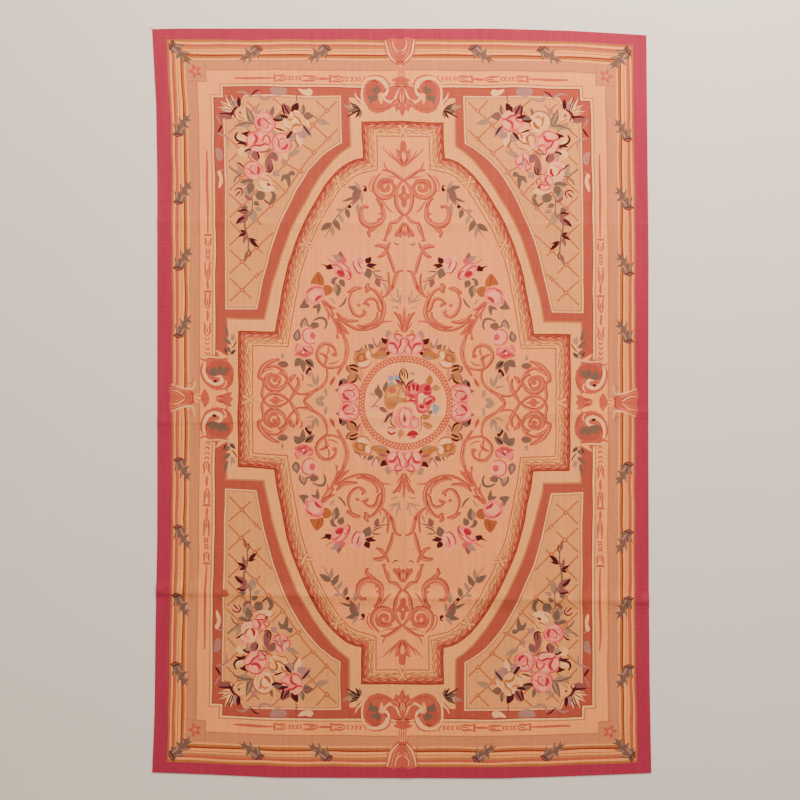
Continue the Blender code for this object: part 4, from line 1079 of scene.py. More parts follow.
# The bouquet inside the ring, which is the only motif that is not mirrored.
MIDDLE_BOUQUET = (
    ("pale mauve", 0.6, -3.8, 11.4, -3.9, 10.4, -3.6, 9.6),
    ("blue", 0, -6, 9.4, -5, 10, -3.9, 9, -4.6, 8, -6, 8.2),
    ("blue", 0, -3.6, 9.6, -2.4, 10.2, -1.4, 9, -2.4, 7.8, -3.6, 8.4),
    ("blue", 0, -6.2, 7, -4.8, 7.8, -3.8, 6.8, -4.8, 6, -6, 6.2),
    ("mauve", 1.6, -0.2, 6.2, -3.4, 8.3),
    ("plum", 0.5, -3.4, 8.3, -2, 8, -0.6, 7.2),
    ("straw", 0, -0.8, 12.6, 0.6, 11.6, 0.9, 9, 0.3, 7, -0.8, 7.6, -1.6, 9.6),
    ("taupe", 0, -0.9, 12, -0.3, 10.6, -0.6, 9.6, -1.2, 10.6),
    ("plum", 0.55, 0.9, 4, 0.4, 6.2, -0.6, 7.8, -1.6, 9.2, -1.5, 11.2, -0.7, 12.7),
    ("plum", 0.5, -0.7, 12.7, 0.6, 11.8, 1.1, 10, 0.9, 8.6),
    ("plum", 0.35, -0.5, 12, 0.1, 10.6, 0, 9.2),
    ("mauve", 2.0, 0.9, 5, 3.4, 9),
    ("plum", 0.5, 0.8, 5, 1.3, 6.8, 2.4, 7.9),
    ("mauve", 0.5, 3.4, 11.6, 3, 10.4, 2, 11.4),
    ("ochre", 0, 9, 10.4, 10.2, 8.6, 9.6, 6.6, 8.2, 6.6, 7.8, 8.4),
    ("tan", 2.6, 9.8, 5.6, 13, 5.2),
    ("pale taupe", 1.3, 10.4, 5.8, 12.2, 5.3),
    ("taupe", 1.9, -9.2, 1.2, -9.8, 7.1),
    ("taupe", 0, -10.6, 5.4, -8.4, 4.6, -8, 3, -8.8, 1.6, -10.2, 2.6, -11.2, 3.2),
    ("taupe", 1.8, -7.4, 3.6, -6.6, 8.2),
    ("taupe", 0.4, -8.6, 2.4, -9.8, 0.9, -11.2, -0.6, -12.5, -2),
    ("mauve", 0.4, -13, 3.3, -12, 3, -11, 2.4),
    ("pale pink", 1.9, -12.6, -2.6, -10, -2.2),
    ("mauve", 0, -9.6, -1.8, -7.6, -1.6, -6.4, -3, -5.4, -3.1, -7.4, -3.6, -8.8, -2.8),
    ("taupe", 0.35, -12.4, -1.6, -10.8, -1.1, -9.8, -1.6),
    ("tan", 0, -7.4, 3, -6.4, 5.6, -3.8, 6.8, -1, 6.4, 0.8, 3.6, 0.6, 1, -1, 0, -2.6, -0.4, -4, -2.4, -6.6,
     -2.2,
     -7.6, 0),
    ("yellow", 0, -6.6, 2.8, -5.6, 5, -3.4, 5.8, -1.6, 5.6, -0.4, 3.6, -0.8, 1.8, -3, 1.6, -5.4, 1.4),
    ("coral", 0, -6, 4.6, -4.6, 5.8, -3.2, 5, -3.6, 3.8, -5.4, 3.6),
    ("copper", 0.35, -1.4, 5.4, -2.4, 3.8, -2.9, 2.2),
    ("copper", 0.35, -5.8, 1.4, -4.4, 2, -2.8, 2, -1.2, 1.4),
    ("ochre", 0, -6.6, -0.2, -4.6, 0.4, -3, -0.4, -4.2, -1.6, -6, -1.4),
    ("cream", 0, -0.6, 3.8, 0, 2.6, -0.6, 1.6, -1.4, 2.6),
    ("ochre", 1.3, -0.8, 0.6, 1.6, 0.6),
    ("rose", 0, 1, 5.8, 2.4, 7.4, 4.4, 7.2, 5.6, 6.4, 6.8, 7, 9, 6.8, 10, 4.6, 9.2, 2.8, 10.8, 2.2, 11.2,
     0.6,
     9.6, -0.8, 8.8, -2.8, 6.6, -4.2, 4.6, -3.4, 4, -1.4, 2.8, 0.2, 1, 0.2, 1.6, 2, 0.4, 3),
    ("pink", 0, 2, 5.6, 4, 6.2, 5, 4.4, 4, 3.2, 2.2, 3.6),
    ("pink", 0, 8, 1.8, 10.4, 1.4, 9.4, 0, 7.6, 0.2),
    ("pink", 0, 5, -1.2, 7, -1, 8.2, -2.4, 6.4, -3.2, 4.9, -2.4),
    ("red", 0, 1.3, 6, 2, 6.2, 2.2, 4.4, 1.5, 4.6),
    ("red", 0, 2.9, 6.8, 3.9, 6.2, 3.6, 4.6, 2.9, 5),
    ("red", 0, 4.6, 6.8, 5.4, 5.6, 4.6, 4, 4, 4.8),
    ("red", 0, 7.2, 5.4, 8.6, 6.6, 9.4, 4.9, 8.2, 4.2, 7.2, 4.6),
    ("magenta", 0, 6.6, 4, 9.4, 3.8, 9.6, 2.9, 7, 2.8),
    ("magenta", 0.8, 0.5, 3.1, 1.9, 2.6, 3, 2.2, 3.8, 0.9),
    ("red", 0.5, 1.2, 0.4, 2.6, 0.9, 4.4, 0.4),
    ("red", 0, 7.4, -0.2, 8.4, -0.8, 9.6, 0, 10.4, 1.4, 8.8, 0.8),
    ("red", 0, 5.2, -1.4, 6.2, -0.8, 7.2, -1.6, 6.6, -2.3, 5.4, -2.1),
    ("magenta", 0.6, 4.2, -1.8, 4.8, -3.4, 6.6, -4, 8.2, -3),
    ("magenta", 0.5, 7.4, 2, 9.6, 2.2, 10.9, 1.4, 10.9, 0.4),
    ("cream", 0, 5, 3, 6.4, 3.6, 7.6, 2.4, 9, 2.3, 6.8, 1.4, 6.4, -0.4, 5.6, 0, 5, -0.8, 4.8, 1.2),
    ("straw", 0, 3, 1.6, 3.8, 1.4, 3.4, 0.9, 2.8, 1.1),
    ("blue", 0, 10.2, -0.6, 11.6, -0.7, 12.6, -2, 11.6, -4.2, 10.2, -3.6, 10.4, -2),
    ("taupe", 0, 8, -3.8, 9.4, -2.8, 10.2, -3.6, 9.4, -4.4),
    ("plum", 0.4, 9.7, -4.7, 8.2, -4.6, 6.6, -4.7, 5.8, -5.6, 6.2, -6.6),
    ("taupe", 0.35, 5.9, -6, 6.2, -8, 6, -9.8, 5, -10.6),
    ("ochre", 1.9, 6.2, -6, 9.8, -4.6),
    ("tan", 0, 6.6, -7.4, 8.4, -7.4, 10.3, -8.8, 9, -9.9, 7.2, -9.2),
    ("copper", 0.25, 6.6, -7.5, 8.6, -8.2, 10.2, -8.9),
    ("pink", 0, -3.2, -3, -1, -1.6, 1.6, -1.4, 3, -3, 3.4, -5, 4.6, -5.4, 5.6, -7.4, 5, -9.4, 3, -10, 0.6,
     -9.4,
     -1.6, -9.6, -3.4, -8, -4.2, -5.4),
    ("pale pink", 0, -1.8, -3.2, 0.4, -2.2, 1.8, -4, 1.6, -7.6, 0.2, -8.6, -1.4, -6.8),
    ("pale pink", 0, 3, -6.8, 4.4, -6.6, 4.8, -8.4, 3.4, -9.4, 2.4, -8.4),
    ("rose", 0.4, -1.4, -2.8, -2.1, -4.6, -1.6, -7, -0.4, -8.6, 1.4, -9),
    ("rose", 0.4, 0.2, -2.2, 1.6, -2.8, 2.4, -4),
    ("magenta", 0, -0.4, -4.2, 0.2, -5, 0.6, -6.4, -0.1, -7.1, -0.7, -6),
    ("rose", 0, -0.2, -1.6, 0.7, -1.8, 0.8, -2.4, 0, -2.4),
    ("rose", 0, 3, -4.9, 3.8, -4.8, 3.6, -6, 2.9, -5.8),
    ("rose", 0.4, 2.6, -7, 2.4, -8, 3, -9, 4.2, -9.2),
    ("mauve", 2.4, -4.4, -3.4, -7.6, -7.4),
    ("cream", 0.6, -5, -5, -6.6, -6.8),
    ("plum", 0.45, -4.2, -3, -5, -4.4, -6.4, -5.6, -7.9, -7),
    ("plum", 0.5, -4.9, -6.2, -5, -7.4, -4, -8.4, -3, -9.2),
    ("tan", 2.2, -1.2, -9.6, -1.8, -13.4),
    ("pale pink", 0, -6.6, -9.6, -4.9, -8.6, -3.3, -9.8, -3.2, -11.2, -4.8, -12, -6.5, -11),
    ("red", 0.5, -6.4, -9.7, -5, -8.9, -3.5, -9.8),
    ("red", 0.8, -6.4, -10.6, -5, -11.6, -3.3, -10.8),
    ("pink", 0.7, 1.8, -12.4, 1.9, -13.4, 2.6, -12.6),
    ("red", 0, 0.6, -12, 1.6, -10.6, 3, -10.1, 4.6, -10.7, 5.2, -12, 3.4, -11.9, 1.8, -12.3),
    ("rose", 1.3, 2.8, -11.8, 2.9, -13.5),
    ("magenta", 1.2, 3.4, -11.8, 4, -13.3),
)
RING = (0.2, 0.0, 17.3, 15.0)
RING_DOTS = ((15.75, 76, 0.0), (16.6, 76, 0.5))
RING_DOT = 0.36


def ring():
    """The round coral frame with two rows of pale dots, and its plain ground."""
    x, y, outer, inner = RING
    shapes = [(moved(rounded(outer, 72), x, y), "coral"), (moved(rounded(inner, 72), x, y), "ring ground")]
    for radius, count, step in RING_DOTS:
        for place in polar((np.arange(count) + step) * 360 / count, radius):
            shapes.append((moved(rounded(RING_DOT, 6), place[0] + x, place[1] + y), "peach"))
    return shapes


def draw_cartoon():
    """Lays all motifs over one another, from the frames to the flowers."""
    frames()
    lattice()
    garland()
    sprig = [(np.array(SPRIG_BODY), "taupe")] + drawn(SPRIG_ROWS)
    for x, y, turn, scale in SPRIGS:
        weave(placed(sprig, x=x, y=y, turn=turn, scale=scale), QUARTERS)
    x, y, radius = BLOCK_STAR
    weave([(moved(rounded(radius, 20, waves=5, depth=STAR_DEPTH), x, y), "coral"),
           (moved(rounded(radius * 0.4, 8), x, y), "pale coral")], QUARTERS)
    weave(placed(rod(ROD_PARTS["side"]), x=ROD_LINES["side"], turn=90), QUARTERS)
    weave(placed(rod(ROD_PARTS["end"]), y=ROD_LINES["end"]), QUARTERS)
    for motif, widen in ((END_ORNAMENT, 1.0), (SIDE_ORNAMENT, 1.0), (HANGING_SPRIG, 1.4),
                         (FRAME_RIBBONS, 1.0), (CORNER_BUD, 1.35)):
        weave(drawn(motif, widen), QUARTERS)
    weave(drawn(BOUQUET_PETALS), QUARTERS)
    for roses, corners in ((BOUQUET_ROSES, CORNERS), (OTHER_ROSES, OTHER_CORNERS)):
        for place in roses:
            weave(rose(*place), corners)
    weave(drawn(BOUQUET_LEAVES, 1.3), QUARTERS)
    weave(drawn(FIELD_SCROLLS, 1.08, ("rust", "pale coral")), QUARTERS)
    for motif, widen in ((FIELD_LEAVES, 1.4), (FIELD_ROSES, 1.2), (WREATH_LEAVES, 1.1)):
        weave(drawn(motif, widen), QUARTERS)
    for place in WREATH_ROSES:
        weave(rose(*place), QUARTERS)
    weave(ring())
    weave(drawn(MIDDLE_BOUQUET))


draw_cartoon()


# The cloth


def soft_step(distance):
    """A smooth hump: 1 at no distance, 0 from a distance of 1 outwards, and level at both ends."""
    return np.where(np.abs(distance) < 1, (1 - np.minimum(distance**2, 1)) ** 2, 0.0)


def outline_shift(across, along):
    """How far a point moves so that the straight rectangle takes the rug's outline, as in the CAD."""
    shift_x = strays(RIGHT_EDGE, along) * (1 + across) / 2 - strays(LEFT_EDGE, along) * (1 - across) / 2
    shift_y = strays(FAR_EDGE, across) * (1 + along) / 2 - strays(NEAR_EDGE, across) * (1 - along) / 2
    return shift_x, shift_y


def crease_lift(creases, across, place, size):
    """The lift that a set of creases gives: each is a hump across its own slightly slanting line."""
    lift = np.zeros_like(across)
    for start, end, height, half_width in creases:
        line = start + (end - start) * (across + 1) / 2
        lift = np.maximum(lift, height * soft_step((place * size / 2 - line) / half_width))
    return lift


def cloth_lift(across, along):
    """How high the cloth's underside is above the floor: its creases over its broad swells."""
    lift = crease_lift(CROSS_CREASES, across, along, RUG_LENGTH)
    lift = np.maximum(lift, crease_lift(LONG_CREASES, along, across, RUG_WIDTH))
    for x, y, height, radius in SWELLS:
        distance = np.hypot(across * RUG_WIDTH / 2 - x, along * RUG_LENGTH / 2 - y) / radius
        lift = lift + height * soft_step(distance)
    return lift


def hand_wobble(points):
    """A weaver's unevenness: sums of sines of unlike lengths, fading to nothing at the rug's edge."""
    draw = np.random.default_rng(SEED)
    x, y = points.T
    to_edge = np.minimum(RUG_WIDTH / 2 / CM - np.abs(x), RUG_LENGTH / 2 / CM - np.abs(y))
    edge = np.clip(to_edge / CALM_STRIP, 0, 1)
    shift = np.zeros_like(points)
    for length in WOBBLE_LENGTHS:
        for axis in (0, 1):
            angle, phase, lean = draw.uniform(0, 2 * np.pi, 3)
            wave = np.sin(2 * np.pi * (x * np.cos(angle) + y * np.sin(angle)) / length + phase)
            cross = np.cos(2 * np.pi * (y * np.cos(lean) - x * np.sin(lean)) / length / CROSS_WAVE + angle)
            shift[:, axis] += WOBBLE * wave * cross
    return shift * edge[:, None]


def on_the_floor(points):
    """Places of the cartoon's points on the real rug, in metres, and their shares across and along it."""
    points = points + hand_wobble(points)
    across, along = points[:, 0] * CM * 2 / RUG_WIDTH, points[:, 1] * CM * 2 / RUG_LENGTH
    edge = np.clip((1 - np.abs(across)) / STILL_STRIP, 0, 1)
    x = points[:, 0] + strays(STRAY_ACROSS, along) * (1 - STRAY_FADE * across**2) * edge
    y = points[:, 1] + strays(STRAY_ALONG, across) * (1 - np.minimum(along**2, 1))
    across, along = x * CM * 2 / RUG_WIDTH, y * CM * 2 / RUG_LENGTH
    shift_x, shift_y = outline_shift(across, along)
    return np.stack((x * CM + shift_x, y * CM + shift_y), axis=1), across, along


# The points that carry the relief, in centimetres: how far out their rows reach, the steps between rows, the
# numbers of rows at a crease across and along the rug, and how far each point is shaken from its place.
RELIEF_REACH = (88.0, 135.0)
RELIEF_STEPS = (5.5, 6.0)
CREASE_ROWS = (9, 7)
RELIEF_SHAKE = 0.2


def even_rows(reach, step):
    """Even places from -reach to reach, a step apart."""
    return np.arange(round(2 * reach / step) + 1) * step - reach


def crease_rows(creases, count, slanting):
    """Close places from one side of each crease to the other, wider by a share of its slant."""
    rows = []
    for start, end, _, half_width in creases:
        reach = half_width / CM + slanting * abs(end - start) / CM / 2
        rows.append((start + end) / 2 / CM + np.linspace(-1, 1, count) * reach)
    return rows


def relief_points():
    """Points spread over the cloth in rows, which are close at each crease so that its lift is smooth."""
    even_xs, even_ys = map(even_rows, RELIEF_REACH, RELIEF_STEPS)
    xs = np.concatenate((even_xs, *crease_rows(LONG_CREASES, CREASE_ROWS[1], 0)))
    ys = np.concatenate((even_ys, *crease_rows(CROSS_CREASES, CREASE_ROWS[0], 1)))
    x, y = np.meshgrid(xs, ys)
    draw = np.random.default_rng(SEED + 1)
    jitter = draw.uniform(-RELIEF_SHAKE, RELIEF_SHAKE, (x.size, 2))
    return np.stack((x.ravel(), y.ravel()), axis=1) + jitter


def cut_areas(outline, shapes, spread):
    """Cuts the sheet into triangles, none of which crosses a shape's edge, and gives each the topmost yarn.

    It is a Delaunay triangulation constrained by all the shapes' edges. Returns the points, the
    triangles, the number of the topmost shape on each triangle, and where the outline's points went.
    """
    points = [outline]
    faces = [list(range(len(outline)))]
    count = len(outline)
    for shape, _ in shapes:
        turn = shape[:, 0] @ np.roll(shape[:, 1], -1) - shape[:, 1] @ np.roll(shape[:, 0], -1)
        points.append(shape if turn > 0 else shape[::-1])
        faces.append(list(range(count, count + len(shape))))
        count += len(shape)
    points.append(spread)
    flat = [Vector(point) for point in np.vstack(points).tolist()]
    result = delaunay_2d_cdt(flat, [], faces, 1, 1e-4)
    places = np.array([tuple(v) for v in result[0]])
    triangles = np.array(result[2])
    topmost = np.array([max(inputs) if len(inputs) else 0 for inputs in result[5]])
    rim = {}
    for out, inputs in enumerate(result[3]):
        for number in inputs:
            if number < len(outline):
                rim[number] = out
    return places, triangles, topmost, np.array([rim[i] for i in range(len(outline))])


# The hem: the even length of its pieces in centimetres, and the angles of its rounding in degrees.
HEM_PIECE = 2.5
HEM_ANGLES = (30, 60, 90)
# Where the face and the back lie in the UV square, side by side: their scales and middles.
UV_SCALE = 0.98 / RUG_LENGTH
UV_MIDDLE = (0.333, 0.5)
BACK_UV_SCALE = 0.46 * UV_SCALE
BACK_UV_MIDDLE = (0.83, 0.5)
SLOPE_STEP = 1e-4


def cloth_normals(across, along):
    """The cloth's upward normals: its lift's slope by small steps across and along."""
    lift = cloth_lift(across, along)
    slope_x = (cloth_lift(across + SLOPE_STEP, along) - lift) / (SLOPE_STEP * RUG_WIDTH / 2)
    slope_y = (cloth_lift(across, along + SLOPE_STEP) - lift) / (SLOPE_STEP * RUG_LENGTH / 2)
    normals = np.stack((-slope_x, -slope_y, np.ones_like(lift)), axis=1)
    return normals / np.linalg.norm(normals, axis=1)[:, None]


def laid_cloth(points, height):
    """The cartoon's points on the floor's cloth, at a height above its underside, with their normals."""
    flat, across, along = on_the_floor(points)
    return np.column_stack((flat, cloth_lift(across, along) + height)), cloth_normals(across, along)


def hem_rings(ring):
    """Rings of points round the hem, whose section goes out, down and in again, as half a rounded box.

    Also gives their normals and how far each is along the section.
    """
    outward = np.roll(ring[:, :2], -1, axis=0) - np.roll(ring[:, :2], 1, axis=0)
    outward = np.stack((outward[:, 1], -outward[:, 0]), axis=1)
    outward /= np.hypot(*outward.T)[:, None]
    angles = np.radians(np.array(HEM_ANGLES + tuple(180 - angle for angle in HEM_ANGLES[::-1])))
    reach = np.sin(angles) * HEM_ROUNDING
    drop = np.cos(angles) * HEM_ROUNDING - HEM_ROUNDING
    drop[len(HEM_ANGLES):] -= CLOTH_THICKNESS - 2 * HEM_ROUNDING
    rings = [np.column_stack((ring[:, :2] + outward * r, ring[:, 2] + d)) for r, d in zip(reach, drop)]
    normals = [np.column_stack((outward * np.sin(a), np.full(len(ring), np.cos(a)))) for a in angles]
    steps = np.hypot(np.diff(reach, prepend=0, append=0), np.diff(drop, prepend=0, append=-CLOTH_THICKNESS))
    return rings, normals, outward, np.cumsum(steps)


def woven_sheet():
    """The rug's mesh: a patterned face, a rounded hem and a plainer back, all on the cloth's creases."""
    half_width, half_length = RUG_WIDTH / 2 / CM, RUG_LENGTH / 2 / CM
    inside_hem = HEM_ROUNDING / CM
    outline = subdivided(box(half_width - inside_hem, half_length - inside_hem), HEM_PIECE)[::-1]
    reach = np.abs(outline).max(axis=0)
    shapes = [(np.clip(points, -reach, reach), yarn) for points, yarn in cartoon[1:]]
    face_points, face_triangles, topmost, rim = cut_areas(outline, shapes, relief_points())
    back_points, back_triangles, back_top, back_rim = cut_areas(
        outline, shapes[:BACK_SHAPES], relief_points())
    yarn_of = np.array([YARN_NAMES.index(yarn) for yarn in [cartoon[0][1]] + [yarn for _, yarn in shapes]])

    face, face_normals = laid_cloth(face_points, CLOTH_THICKNESS)
    back, back_normals = laid_cloth(back_points, 0)
    rings, ring_normals, outward, along_section = hem_rings(face[rim])
    count = len(outline)
    back_start = len(face) + count * len(rings)
    hem_loops = [len(face) + count * i + np.arange(count) for i in range(len(rings))]
    loops = [rim, *hem_loops, back_rim + back_start]
    face_uv = face[:, :2] * UV_SCALE + UV_MIDDLE
    loop_uvs = [face_uv[rim]] + [face_uv[rim] + outward * length * UV_SCALE for length in along_section]
    hem, hem_uv = [], []
    for i in range(len(loops) - 1):
        for table, source in ((hem, loops), (hem_uv, loop_uvs)):
            upper, lower = source[i], source[i + 1]
            after_upper, after_lower = np.roll(upper, -1, axis=0), np.roll(lower, -1, axis=0)
            table.append(np.stack((upper, lower, after_upper), axis=1))
            table.append(np.stack((after_upper, lower, after_lower), axis=1))
    hem = np.vstack(hem)

    points = np.vstack((face, *rings, back))
    points[:, :2] -= (points[:, :2].max(axis=0) + points[:, :2].min(axis=0)) / 2
    normals = np.vstack((face_normals, *ring_normals, -back_normals))
    triangles = np.vstack((face_triangles, hem, back_triangles[:, ::-1] + back_start))
    yarn = np.concatenate((yarn_of[topmost], np.full(len(hem), yarn_of[0]), yarn_of[back_top]))
    back_uv = back[:, :2] * (-BACK_UV_SCALE, BACK_UV_SCALE) + BACK_UV_MIDDLE
    uv = np.vstack((face_uv[face_triangles].reshape(-1, 2), np.vstack(hem_uv).reshape(-1, 2),
                    back_uv[back_triangles[:, ::-1]].reshape(-1, 2)))

    mesh = bpy.data.meshes.new("wool_rug_cloth")
    mesh.from_pydata(points.tolist(), [], triangles.tolist())
    palette = np.array([linear_colour(YARNS[name]) for name in YARN_NAMES])
    colours = mesh.color_attributes.new("yarn", "FLOAT_COLOR", "CORNER")
    colours.data.foreach_set("color", np.repeat(palette[yarn], 3, axis=0).ravel().astype(np.float32))
    layer = mesh.uv_layers.new(name="OFBake")
    layer.data.foreach_set("uv", uv.ravel().astype(np.float32))
    mesh.shade_smooth()
    mesh.normals_split_custom_set_from_vertices(normals.tolist())
    rug = bpy.data.objects.new("wool_rug_cloth", mesh)
    bpy.context.scene.collection.objects.link(rug)
    return rug


def add_node(tree, kind, inputs=None, **settings):
    """Adds a node, sets its settings, and sets or links its inputs."""
    node = tree.nodes.new(kind)
    for name, value in settings.items():
        setattr(node, name, value)
    for name, value in (inputs or {}).items():
        if isinstance(value, bpy.types.NodeSocket):
            tree.links.new(value, node.inputs[name])
        else:
            node.inputs[name].default_value = value
    return node


# Sizes of the weave in metres. Along the rug lie the wefts, and across it the ribs over the warps.
RIB_PITCH = 0.0025
WEFT_PITCH = 0.0012
BED_PITCH = 0.0145
# The shades of two stitches side by side, the painted shade in the gap between them, and the gap's share of
# a stitch.
STITCH_SHADES_AND_GAP_SHADOW = (0.86, 1.1, 0.72)
STITCH_GAP = 0.12
# The uneven dye: how fine its streaks, flecks and patches are, and their darkest and palest shades.
STREAK_SCALE = (75.0, 3.2, 1.0)
STREAK_SHADES = (0.84, 1.16)
FLECK_SCALE = (420.0, 110.0, 1.0)
FLECK_SHADES = (0.88, 1.12)
PATCH_SCALE = (2.4, 2.4, 2.4)
PATCH_SHADES = (0.9, 1.1)
# The painted shade along the middle of a crease: its share of the crease's half width, and its darkening per
# metre of lift.
PAINTED_SHADE_SHARE = 0.35
PAINTED_SHADE_PER_LIFT = 36.0
# The weave's relief: its height in metres and its strength, and the shares of the beds and the gaps in it.
RELIEF_HEIGHT = 0.0006
RELIEF_STRENGTH = 0.55
BED_SHARE = 0.6
GAP_SHARE = -0.6
WOOL_FINISH = {"Roughness": 0.95, "Specular IOR Level": 0.08, "Sheen Weight": 0.04, "Sheen Roughness": 0.6}


def shade_range(tree, value, low, high):
    """A grey factor that goes from low to high as the value goes from 0 to 1."""
    node = add_node(tree, "ShaderNodeMapRange", {"Value": value, "To Min": low, "To Max": high}, clamp=True)
    return node.outputs["Result"]


def stretched_noise(tree, place, scale, detail):
    """Noise whose grain is longer one way than the other, from the place scaled unevenly."""
    mapping = add_node(tree, "ShaderNodeMapping", {"Vector": place, "Scale": scale})
    noise = add_node(tree, "ShaderNodeTexNoise", {"Vector": mapping.outputs["Vector"], "Scale": 1.0,
                                                  "Detail": detail})
    return noise.outputs["Fac"]


def wave_bands(tree, place, pitch, distortion, detail=None, direction="Y"):
    """Bands of light and dark a pitch apart, from a wave texture, whose scale is 2 pi over 20 pitches."""
    inputs = {"Vector": place, "Scale": 2 * np.pi / (20 * pitch), "Distortion": distortion}
    if detail is not None:
        inputs["Detail"] = detail
    return add_node(tree, "ShaderNodeTexWave", inputs, bands_direction=direction).outputs["Fac"]


def math_result(tree, operation, *values):
    """The result of one math step on two or three values."""
    return add_node(tree, "ShaderNodeMath", dict(enumerate(values)), operation=operation).outputs["Value"]


def shaded(tree, colour, shade):
    """A colour times a shade."""
    node = add_node(tree, "ShaderNodeVectorMath", {0: colour, 1: shade}, operation="MULTIPLY")
    return node.outputs["Vector"]


def crease_shade(tree, place, axis, start, end, half_width, shade):
    """A painted-shade factor that dips to the shade on a crease's slanting line and is 1 from its half width
    outwards.
    """
    other, size = ("X", RUG_WIDTH) if axis == "Y" else ("Y", RUG_LENGTH)
    split = add_node(tree, "ShaderNodeSeparateXYZ", {"Vector": place})
    slant = (end - start) / size
    line = math_result(tree, "MULTIPLY_ADD", split.outputs[other], slant, (start + end) / 2)
    distance = math_result(tree, "ABSOLUTE", math_result(tree, "SUBTRACT", split.outputs[axis], line))
    dip = add_node(tree, "ShaderNodeMapRange", {"Value": distance, "From Max": half_width, "To Min": shade,
                                                "To Max": 1.0}, interpolation_type="SMOOTHSTEP")
    return dip.outputs["Result"]


def wool_material():
    """Hand-dyed matt wool weft packed hard over cotton warps.

    The eye gets the uneven dye as streaks along the wefts, single yarns a shade lighter or darker with
    painted shade in the thin gaps between them, the ribs over the warps, painted shade along the creases,
    and a faint sheen of stray fibres.
    """
    material = bpy.data.materials.new("wool_tapestry_weave")
    material.use_nodes = True
    tree = material.node_tree
    shader = tree.nodes["Principled BSDF"]
    place = add_node(tree, "ShaderNodeTexCoord").outputs["Object"]
    yarn = add_node(tree, "ShaderNodeVertexColor", layer_name="yarn")

    # Each stitch takes a random shade between the first two, and the gap between stitches is painted shade.
    first, second, gap = ((shade, shade, shade, 1) for shade in STITCH_SHADES_AND_GAP_SHADOW)
    stitches = add_node(tree, "ShaderNodeTexBrick", {
        "Vector": place, "Color1": first, "Color2": second, "Mortar": gap, "Scale": 1.0,
        "Mortar Size": WEFT_PITCH * STITCH_GAP, "Mortar Smooth": 0.6, "Brick Width": WEFT_PITCH,
        "Row Height": RIB_PITCH}, offset=0.5)
    shades = [
        stitches.outputs["Color"],
        shade_range(tree, stretched_noise(tree, place, STREAK_SCALE, 3.0), *STREAK_SHADES),
        shade_range(tree, stretched_noise(tree, place, FLECK_SCALE, 1.0), *FLECK_SHADES),
        shade_range(tree, stretched_noise(tree, place, PATCH_SCALE, 2.0), *PATCH_SHADES),
    ]
    # Painted shade along each crease, darker the higher the crease's lift.
    for axis, creases in (("Y", CROSS_CREASES), ("X", LONG_CREASES)):
        for start, end, lift, half_width in creases:
            painted_shade_line = (start, end, half_width * PAINTED_SHADE_SHARE, 1 - lift * PAINTED_SHADE_PER_LIFT)
            shades.append(crease_shade(tree, place, axis, *painted_shade_line))
    colour = yarn.outputs["Color"]
    for shade in shades:
        colour = shaded(tree, colour, shade)
    tree.links.new(colour, shader.inputs["Base Color"])

    # The ribs are the wefts' rise over each warp. The beds are broader, fainter bands of several ribs, as
    # the real ribs are finer than the picture's pixels.
    ribs = wave_bands(tree, place, RIB_PITCH, 0.6, 1.0)
    beds = wave_bands(tree, place, BED_PITCH, 1.5, 2.0)
    height = math_result(tree, "MULTIPLY_ADD", beds, BED_SHARE, ribs)
    height = math_result(tree, "MULTIPLY_ADD", stitches.outputs["Fac"], GAP_SHARE, height)
    bump = add_node(tree, "ShaderNodeBump", {"Height": height, "Strength": RELIEF_STRENGTH,
                                             "Distance": RELIEF_HEIGHT})
    tree.links.new(bump.outputs["Normal"], shader.inputs["Normal"])
    for name, value in WOOL_FINISH.items():
        shader.inputs[name].default_value = value
    return material


# Undyed cotton warp ends that the hem has let go. Columns: side of the rug, place along it, number of ends,
# their length and their direction from straight outwards, in centimetres and degrees.
WARP_ENDS = (
    (-1, 137.0, 6, 1.3, -30), (-1, 119.3, 3, 1.9, 40), (-1, 2.0, 2, 0.5, 0), (-1, -44.5, 2, 7.0, 84),
    (-1, -68.6, 3, 0.9, -20), (-1, -99.0, 3, 0.9, 20), (-1, -134.0, 5, 1.1, 35), (1, -51.0, 3, 0.9, 10),
    (1, 134.2, 5, 1.3, -30), (1, 20.0, 2, 0.6, 30),
)
# One end as a tube, in metres: its radius and the share lost by the tip, its sides and steps, and how deep
# it starts in the hem.
END_RADIUS = 0.0007
END_TAPER = 0.6
END_SIDES = 6
END_STEPS = 8
END_ROOT = 0.003
# How ends of one tuft differ: their places along the edge in centimetres, their least share of the length,
# and their directions and curls in degrees.
END_SPREAD = 0.2
END_SHORTEST = 0.6
END_TURN = 35
END_CURL = 60
# How near to a tuft's place the hem's points are looked at, in metres.
HEM_NEAR = 0.02


def warp_strand(start, side, length, turn, curl):
    """A limp end as a tube: its path turns evenly from its first direction and sinks to the floor."""
    t = np.linspace(0, 1, END_STEPS + 1)
    heading = np.radians(turn + curl * t)
    step = length / END_STEPS
    x = start[0] + side * (np.cumsum(np.cos(heading)) * step - step - END_ROOT)
    y = start[1] - np.cumsum(np.sin(heading)) * step
    z = END_RADIUS + (start[2] - END_RADIUS) * (1 - t) ** 2
    path = np.stack((x, y, z), axis=1)
    along = np.gradient(path, axis=0)
    along /= np.linalg.norm(along, axis=1)[:, None]
    square = np.cross(along, (0.0, 0.0, 1.0))
    square /= np.linalg.norm(square, axis=1)[:, None]
    upward = np.cross(square, along)
    angles = np.arange(END_SIDES) * 2 * np.pi / END_SIDES
    thin = (END_RADIUS * (1 - END_TAPER * t**3))[:, None, None]
    rings = path[:, None] + thin * (np.cos(angles)[None, :, None] * square[:, None]
                                    + np.sin(angles)[None, :, None] * upward[:, None])
    return rings.reshape(-1, 3)


